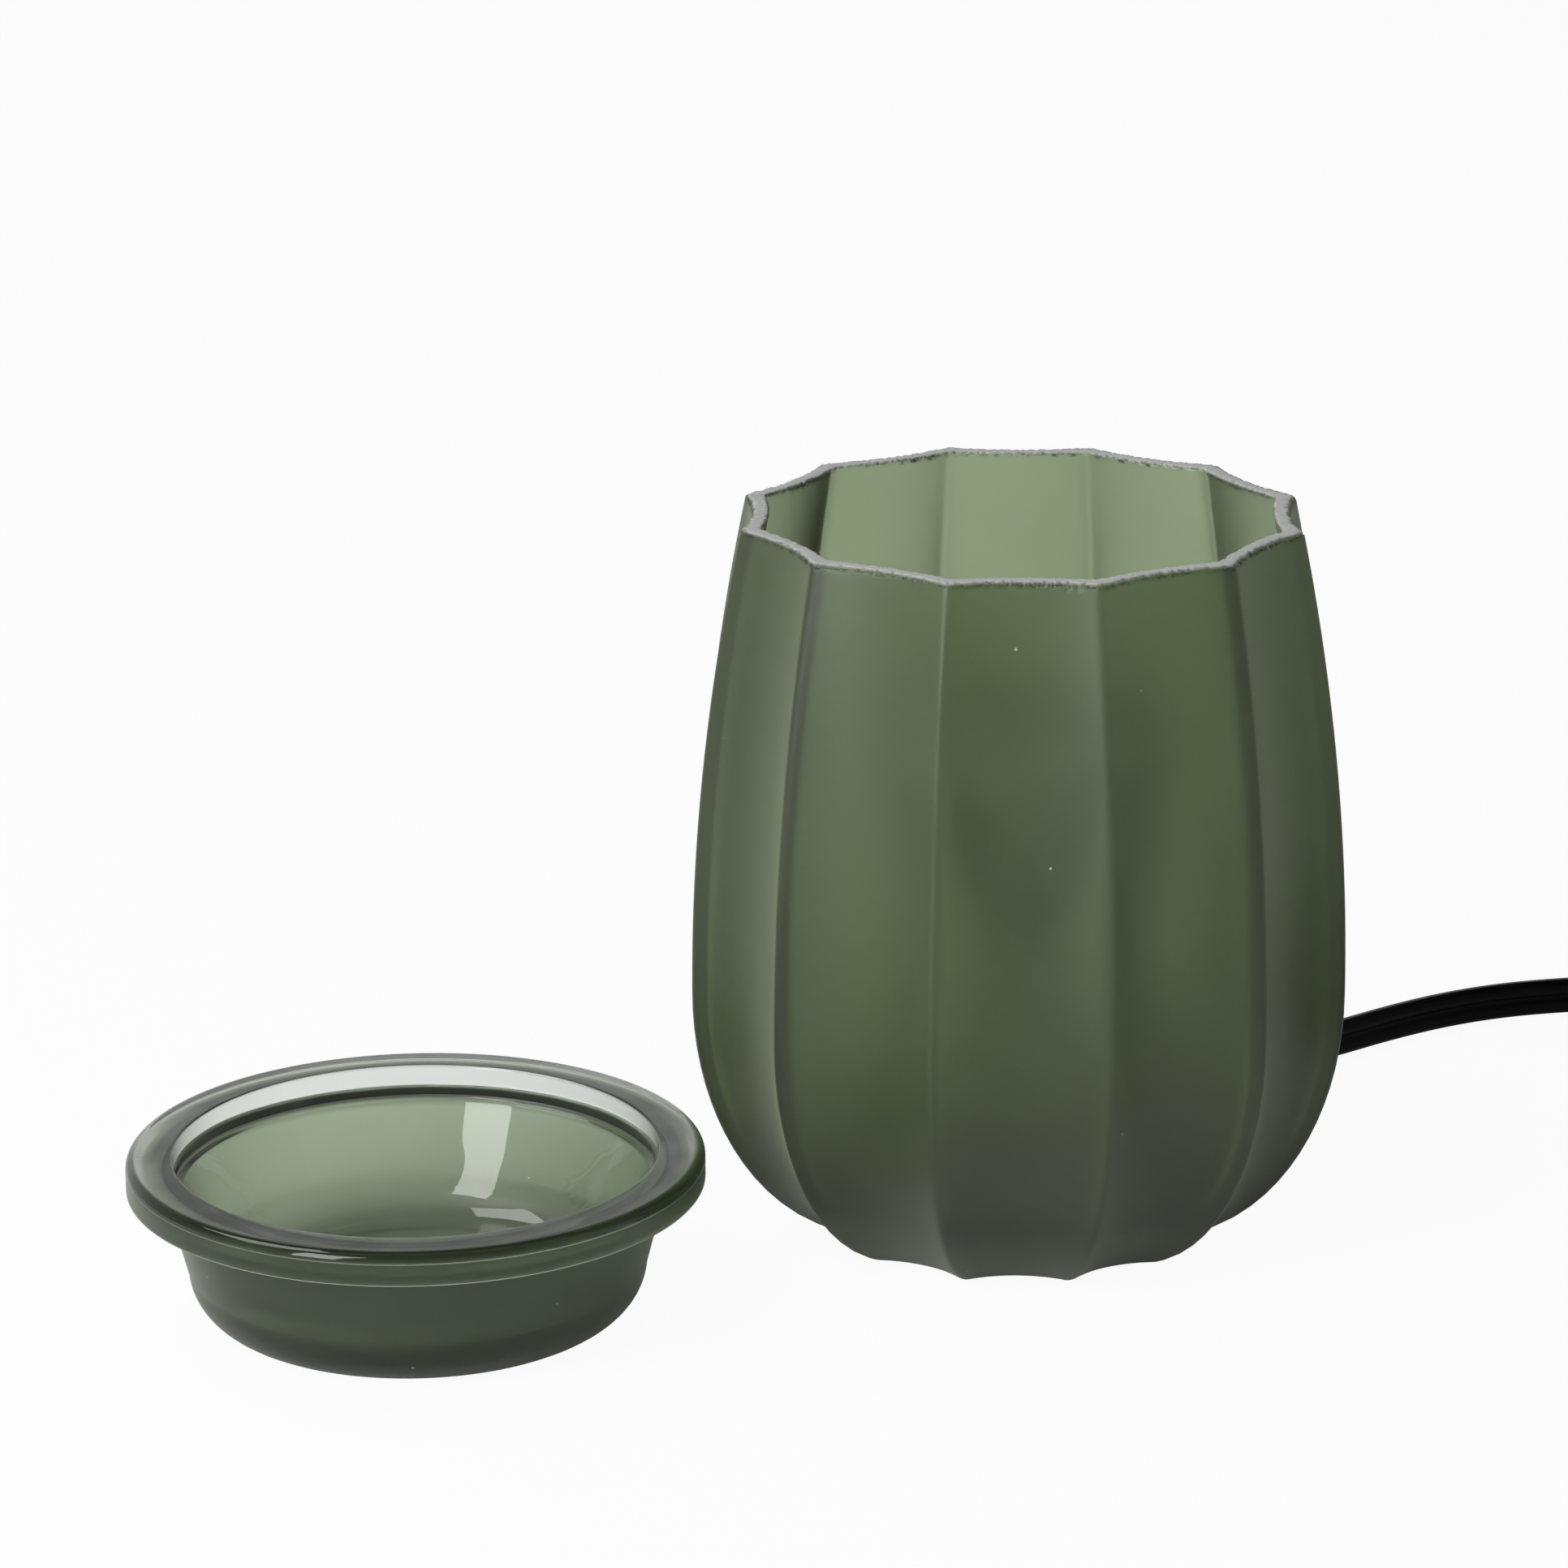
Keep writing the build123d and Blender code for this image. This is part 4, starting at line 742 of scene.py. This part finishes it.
def eased(line, radii, steps=6):
    """The line with its listed corners rounded. A run of over 1 mm gets points that are 2 mm apart at
    most, and one close to each end."""
    out = []
    for k, spot in enumerate(line):
        here = Vector(spot)
        if k in radii:
            before, after = (Vector(line[j]) - here for j in (k - 1, k + 1))
            half = before.angle(after) / 2
            halfway = (before.normalized() + after.normalized()).normalized()
            middle = here + halfway * radii[k] / math.sin(half)
            first, last = [here + way.normalized() * radii[k] / math.tan(half) - middle
                           for way in (before, after)]
            bend = first.angle(last)
            for step in range(steps + 1):
                share = step / steps
                turned = first * math.sin(bend * (1 - share)) + last * math.sin(bend * share)
                out.append(middle + turned / math.sin(bend))
        else:
            out.append(here)
    full = [out[0]]
    for spot in out[1:]:
        run = spot - full[-1]
        if run.length > LONG_RUN:
            start, count = full[-1], max(math.ceil(run.length / RUN_STEP), 2)
            close = CLOSE_TO_END / count
            inner = [close] + [j / count for j in range(1, count)] + [1 - close]
            full += [start + run * share for share in inner]
        full.append(spot)
    return full


def dish_spots():
    """The dish's outline from the middle of its base, out and up over the flange, and back inside."""
    outside = [(0.0, 0.0), *heel_spots((BASE_RADIUS, 0.0), HEEL_TOP, HEEL_BEND, 14),
               (NECK_RADIUS, FLANGE_SEAT), (FLANGE_RADIUS, FLANGE_SEAT), (FLANGE_RADIUS, DISH_HEIGHT)]
    bend = [Vector(p) for p in BOWL_BEND]
    hollow = [bend[0] * (1 - t) ** 3 + bend[1] * 3 * t * (1 - t) ** 2 + bend[2] * 3 * t * t * (1 - t)
              + bend[3] * t ** 3 for t in [k / 16 for k in range(17)]]
    inside = [MOUTH, *LEDGE, *hollow, (0.0, BOWL_FLOOR)]
    neck = len(outside) - 3
    line = eased(outside + inside, dict(enumerate(EASED_FROM_NECK, neck)))
    bright = next(k for k, p in enumerate(line)
                  if p.y > DISH_HEIGHT - EDGE_ROUND and p.x > FLANGE_RADIUS - 0.0002)
    bare = next(k for k, p in enumerate(line) if p.y > DISH_HEIGHT - 0.00002)
    return [plain_spot(p.x, p.y, (SEAT_SATIN if abs(p.y - FLANGE_SEAT) < 0.0001 else 1.0) * (k < bright),
                       float(k < bare)) for k, p in enumerate(line)]


def sprayed_coat(coat, out):
    """The lacquer's thickness at a place on the dish, with painted shade and light in it. It is made thicker,
    as painted shade, on the near side of the body, round the heel and at the top of the near edge, and near
    black in the corner under the flange; it is thin on the flange's seat, and thinner on the far edge as painted
    light."""
    radius, level, near = out.xy.length, out.z, clipped(0.5 - out.y / NEAR_DEPTH)
    if level > FLANGE_SEAT + 0.0003 and radius > FLANGE_RADIUS - EDGE_BAND:
        coat *= 1 - FAR_EDGE_LESS * clipped(out.y / FLANGE_RADIUS * 1.6 + 0.1)
        return coat + NEAR_EDGE_MORE * near if level > DISH_HEIGHT - EDGE_TOP else coat
    if level > FLANGE_SEAT - CORNER_DROP:
        corner = CORNER_RADIUS + CORNER_WIDER * clipped(out.y / 0.03 + 0.2) - radius
        return SEAT_COAT + CORNER_MORE * clipped(corner / CORNER_FADE)
    return coat + NEAR_BODY_MORE * near + HEEL_MORE * clipped(1.25 - level / HEEL_HEIGHT)


pressed_green = coated_glass("pressed_green", (0.142, 0.215, 0.100), (0.176, 0.258, 0.126),
                             satin_rough=0.36, clear_rough=0.03, wave=0.0006, haze=0.05, bloom=0.01)
dish = glass_body("pressed_dish", dish_spots(), False, DISH_STEPS, DISH_MIDDLE, pressed_green)
# The dish's lacquer gets its painted shade and light here.
for vertex, coat in zip(dish.data.vertices, dish.data.attributes["coat"].data):
    if coat.value:
        coat.value = sprayed_coat(coat.value, vertex.co - Vector(DISH_MIDDLE))
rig.slot(dish, "dish_glass")
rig.replaces(dish, "melt_dish")
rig.ride(dish, "dish")

# The steel: pipe, nuts, washers, bracket and screws are rolled or turned steel with a zinc plating,
# a little blue and cloudy. The nuts clamp the bracket and the rubber to the glass floor.
plating = finished("zinc_plating", (0.50, 0.51, 0.52), (0.72, 0.72, 0.70),
                   shine=(0.24, 0.46), grain=700.0, depth=0.00003, metal=1.0, stretch=(1.0, 1.0, 0.15))
dressed(plating, "threaded_pipe", "pipe_nuts", "plain_washer", "lock_washer", "holder_bracket",
        "holder_screws", "switch_screws")

# The lamp holder: white steatite pressed dry and fired, dull and faintly speckled, with bent brass
# leaves inside and two wires in woven glass sleeves that end in crimp caps of natural nylon.
steatite = finished("steatite", (0.70, 0.68, 0.62), (0.86, 0.85, 0.81),
                    shine=(0.38, 0.56), grain=1200.0, depth=0.00005)
brass = finished("rolled_brass", (0.66, 0.46, 0.20), (0.84, 0.63, 0.32),
                 shine=(0.22, 0.40), grain=900.0, depth=0.00003, metal=1.0, stretch=(0.2, 1.0, 1.0))
nylon = finished("natural_nylon", (0.62, 0.60, 0.54), (0.78, 0.77, 0.72),
                 shine=(0.34, 0.48), grain=800.0, depth=0.00004)
insulation = finished("core_insulation", (0.012, 0.012, 0.013), (0.03, 0.03, 0.03),
                      shine=(0.32, 0.44), grain=1100.0, depth=0.00003)


def woven_sleeve():
    """White glass yarn: two sets of fine ribs that cross, one over the other."""
    material, add = new_material("woven_sleeve")
    where = add.object_place()
    ribs = []
    for turn in (0.7, -0.7):
        drawn = add("ShaderNodeMapping", {"Vector": where, "Rotation": (turn, turn, turn)}).outputs[0]
        wave = add("ShaderNodeTexWave", {"Vector": drawn, "Scale": 420.0, "Distortion": 0.6})
        ribs.append(wave.outputs["Fac"])
    cross = add.calc("MAXIMUM", *ribs)
    add.surface({"Base Color": add.blend(cross, (0.45, 0.44, 0.40, 1), (0.82, 0.81, 0.77, 1)),
                 "Roughness": 0.8, "Normal": add.bump(cross, 0.7, 0.0002)})
    return material


dressed(steatite, "holder_body", "holder_cover", "lamp_base")
dressed(brass, "holder_contacts", "switch_blade", "switch_contacts")
dressed(nylon, "crimp_caps")
dressed(insulation, "cord_cores")
dressed(woven_sleeve(), "holder_leads")

# The lamp: a bowl of pressed glass with an aluminium coat, whose facets spread the light, a clear front
# glass, and a quartz bulb on two turned pins. It turns a twelfth of a circle to lock in the holder.
FACETS_AROUND, HALF_FACETS_A_METRE = 28, 420.0


def faceted_mirror():
    """Aluminium on pressed glass: rows of small facets round the bowl's axis."""
    material, add = new_material("faceted_mirror")
    calc = add.calc
    where = add.object_place()
    place = add("ShaderNodeSeparateXYZ", {0: where}).outputs
    turn = calc("ARCTAN2", place[1], place[0])
    around = calc("PINGPONG", calc("MULTIPLY", turn, FACETS_AROUND / math.pi), 1.0)
    upward = calc("PINGPONG", calc("MULTIPLY", place[2], HALF_FACETS_A_METRE), 1.0)
    facet = calc("SMOOTH_MIN", around, upward, 0.3)
    haze = add.noise(where, 300.0, 3.0)
    add.surface({"Base Color": add.blend(haze, (0.74, 0.75, 0.77, 1), (0.90, 0.90, 0.90, 1)),
                 "Roughness": add.ranged(haze, 0.0, 1.0, 0.08, 0.20), "Metallic": 1.0,
                 "Normal": add.bump(facet, 0.6, 0.0004)})
    return material


def lamp_glass():
    """Clear glass with the faint waves of pressing."""
    material, add = new_material("lamp_glass")
    waves = add.noise(add.object_place(), 160.0)
    add.surface({"Base Color": add.blend(waves, (0.93, 0.96, 0.95, 1), (0.98, 0.99, 0.99, 1)),
                 "Roughness": add.ranged(waves, 0.0, 1.0, 0.01, 0.05), "IOR": 1.5,
                 "Transmission Weight": 1.0, "Normal": add.bump(waves, 0.3, 0.0003)})
    return material


turned_metal = finished("turned_metal", (0.58, 0.58, 0.60), (0.78, 0.78, 0.79),
                        shine=(0.20, 0.36), grain=900.0, depth=0.00002, metal=1.0, stretch=(0.2, 0.2, 1.0))
dressed(faceted_mirror(), "lamp_reflector")
dressed(lamp_glass(), "lamp_front_glass", "lamp_capsule")
dressed(turned_metal, "lamp_pins")

# The switch and the plug: black plastic moulded with a spark-eroded texture, the rocker bright where
# thumbs polish it, the plug softer and moulded over the lead. The blades are brass plated with nickel.
spark = finished("spark_texture", (0.012, 0.012, 0.012), (0.030, 0.030, 0.030),
                 shine=(0.42, 0.60), grain=1900.0, depth=0.00008)
polished = finished("polished_rocker", (0.010, 0.010, 0.011), (0.022, 0.022, 0.023),
                    shine=(0.16, 0.26), grain=600.0, depth=0.00002)
moulded = finished("moulded_plug", (0.014, 0.014, 0.014), (0.028, 0.027, 0.026),
                   shine=(0.46, 0.62), grain=1300.0, depth=0.00006)
nickel = finished("nickel_plate", (0.62, 0.58, 0.50), (0.80, 0.77, 0.70),
                  shine=(0.16, 0.30), grain=800.0, depth=0.00002, metal=1.0, stretch=(0.3, 0.3, 1.0))
dressed(spark, "switch_lower_shell", "switch_upper_shell")
dressed(polished, "switch_rocker")
dressed(moulded, "plug_body")
dressed(nickel, "plug_blades")

# The strap round the put-away coil: a soft black band, closed on itself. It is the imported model's own
# piece, and gets a dull, grainy finish here.
strap = finished("soft_strap", (0.014, 0.014, 0.015), (0.040, 0.040, 0.042),
                 shine=(0.58, 0.75), grain=1600.0, depth=0.00009)
dressed(strap, "coil_tie")

# The table and the light: white paper on a floor and a white surround that darkens overhead and towards
# the camera. A tall soft lamp at the front left shows in the glass, a wider one beside it doesn't, and a
# third hangs above on the left.
FLOOR_HALF, FLOOR_DROP, PAPER_WHITE = 4, 0.0002, 0.94
LAMPS = (("lamp_front_left", (-0.93, -1.30, 0.85), (0.60, 1.3), 15.8, True),
         ("lamp_left", (-1.3, -1.1, 0.9), (0.9, 0.9), 11.5, False),
         ("lamp_above", (-0.91, 0.10, 1.45), (0.8, 0.8), 8.6, True))
LAMP_AIM = Vector((0, 0, 0.05))


def glowing_paper():
    """Paper that glows white for the camera and a little in gloss. Through glass it glows behind the
    vessel and fades in front of it and to the sides."""
    material, add = new_material("floor_paper")
    calc = add.calc
    ray = add("ShaderNodeLightPath").outputs
    spot = add("ShaderNodeSeparateXYZ", {0: add.object_place()}).outputs
    deep = add.ranged(calc("MULTIPLY_ADD", spot[0], -0.6, spot[1]), 0.0, 0.15, 0.05, 0.95)
    side = add.ranged(calc("ABSOLUTE", calc("ADD", spot[0], 0.05)), 0.14, 0.34, 1.0, 0.15)
    through_glass = calc("MULTIPLY", calc("MULTIPLY", deep, side), ray["Is Transmission Ray"])
    in_gloss = calc("MULTIPLY", ray["Is Glossy Ray"], 0.1)
    straight = calc("MULTIPLY", ray["Is Camera Ray"], PAPER_WHITE)
    share = calc("MAXIMUM", straight, calc("MAXIMUM", through_glass, in_gloss))
    lit = add("ShaderNodeBsdfDiffuse", {"Color": (0.85, 0.85, 0.85, 1)})
    glow = add("ShaderNodeEmission", {"Color": (1, 1, 1, 1), "Strength": 1.0})
    mixed = add("ShaderNodeMixShader", {0: share, 1: lit.outputs[0], 2: glow.outputs[0]})
    add("ShaderNodeOutputMaterial", {"Surface": mixed.outputs[0]})
    return material


def white_surround():
    """A world that is white for the camera, and has its own brightness for light through glass."""
    world = bpy.data.worlds.new("surround")
    world.use_nodes = True
    world.node_tree.nodes.clear()
    add = NodeMaker(world.node_tree)
    calc = add.calc
    ray = add("ShaderNodeLightPath").outputs
    way = add("ShaderNodeSeparateXYZ", {0: add("ShaderNodeTexCoord").outputs["Generated"]}).outputs
    height = add.ranged(way[2], 0.25, 0.8, 1.0, 0.10)
    behind = add.ranged(way[1], 0.3, 0.85, 0.12, 1.0)
    strengths = (calc("MULTIPLY", height, calc("MULTIPLY_ADD", behind, 0.4, 0.3)),
                 calc("MULTIPLY", height, behind), 1.0)
    room, beyond, white = [add("ShaderNodeBackground", {"Color": (1, 1, 1, 1), "Strength": s}).outputs[0]
                           for s in strengths]
    sky = add("ShaderNodeMixShader", {0: ray["Is Transmission Ray"], 1: room, 2: beyond}).outputs[0]
    sky = add("ShaderNodeMixShader", {0: ray["Is Camera Ray"], 1: sky, 2: white}).outputs[0]
    add("ShaderNodeOutputWorld", {"Surface": sky})
    return world


floor_mesh = bpy.data.meshes.new("floor")
corners = [(FLOOR_HALF * x, FLOOR_HALF * y, -FLOOR_DROP) for x, y in ((-1, -1), (1, -1), (1, 1), (-1, 1))]
floor_mesh.from_pydata(corners, [], [(0, 1, 2, 3)])
floor = bpy.data.objects.new("floor", floor_mesh)
scene.collection.objects.link(floor)
floor_mesh.materials.append(glowing_paper())
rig.stage(floor)
scene.world = white_surround()
for name, place, size, power, shows in LAMPS:
    light = bpy.data.lights.new(name, "AREA")
    light.shape, light.size, light.size_y, light.energy = "RECTANGLE", *size, power
    lamp = bpy.data.objects.new(name, light)
    lamp.visible_glossy = shows
    scene.collection.objects.link(lamp)
    facing = (LAMP_AIM - Vector(place)).to_track_quat("-Z", "Y").to_matrix().to_4x4()
    lamp.matrix_world = Matrix.Translation(place) @ facing

scene.view_settings.view_transform = "Standard"
with open("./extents.json", "w") as kept:
    json.dump([cad_box, [list(corner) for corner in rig.bounds()]], kept)
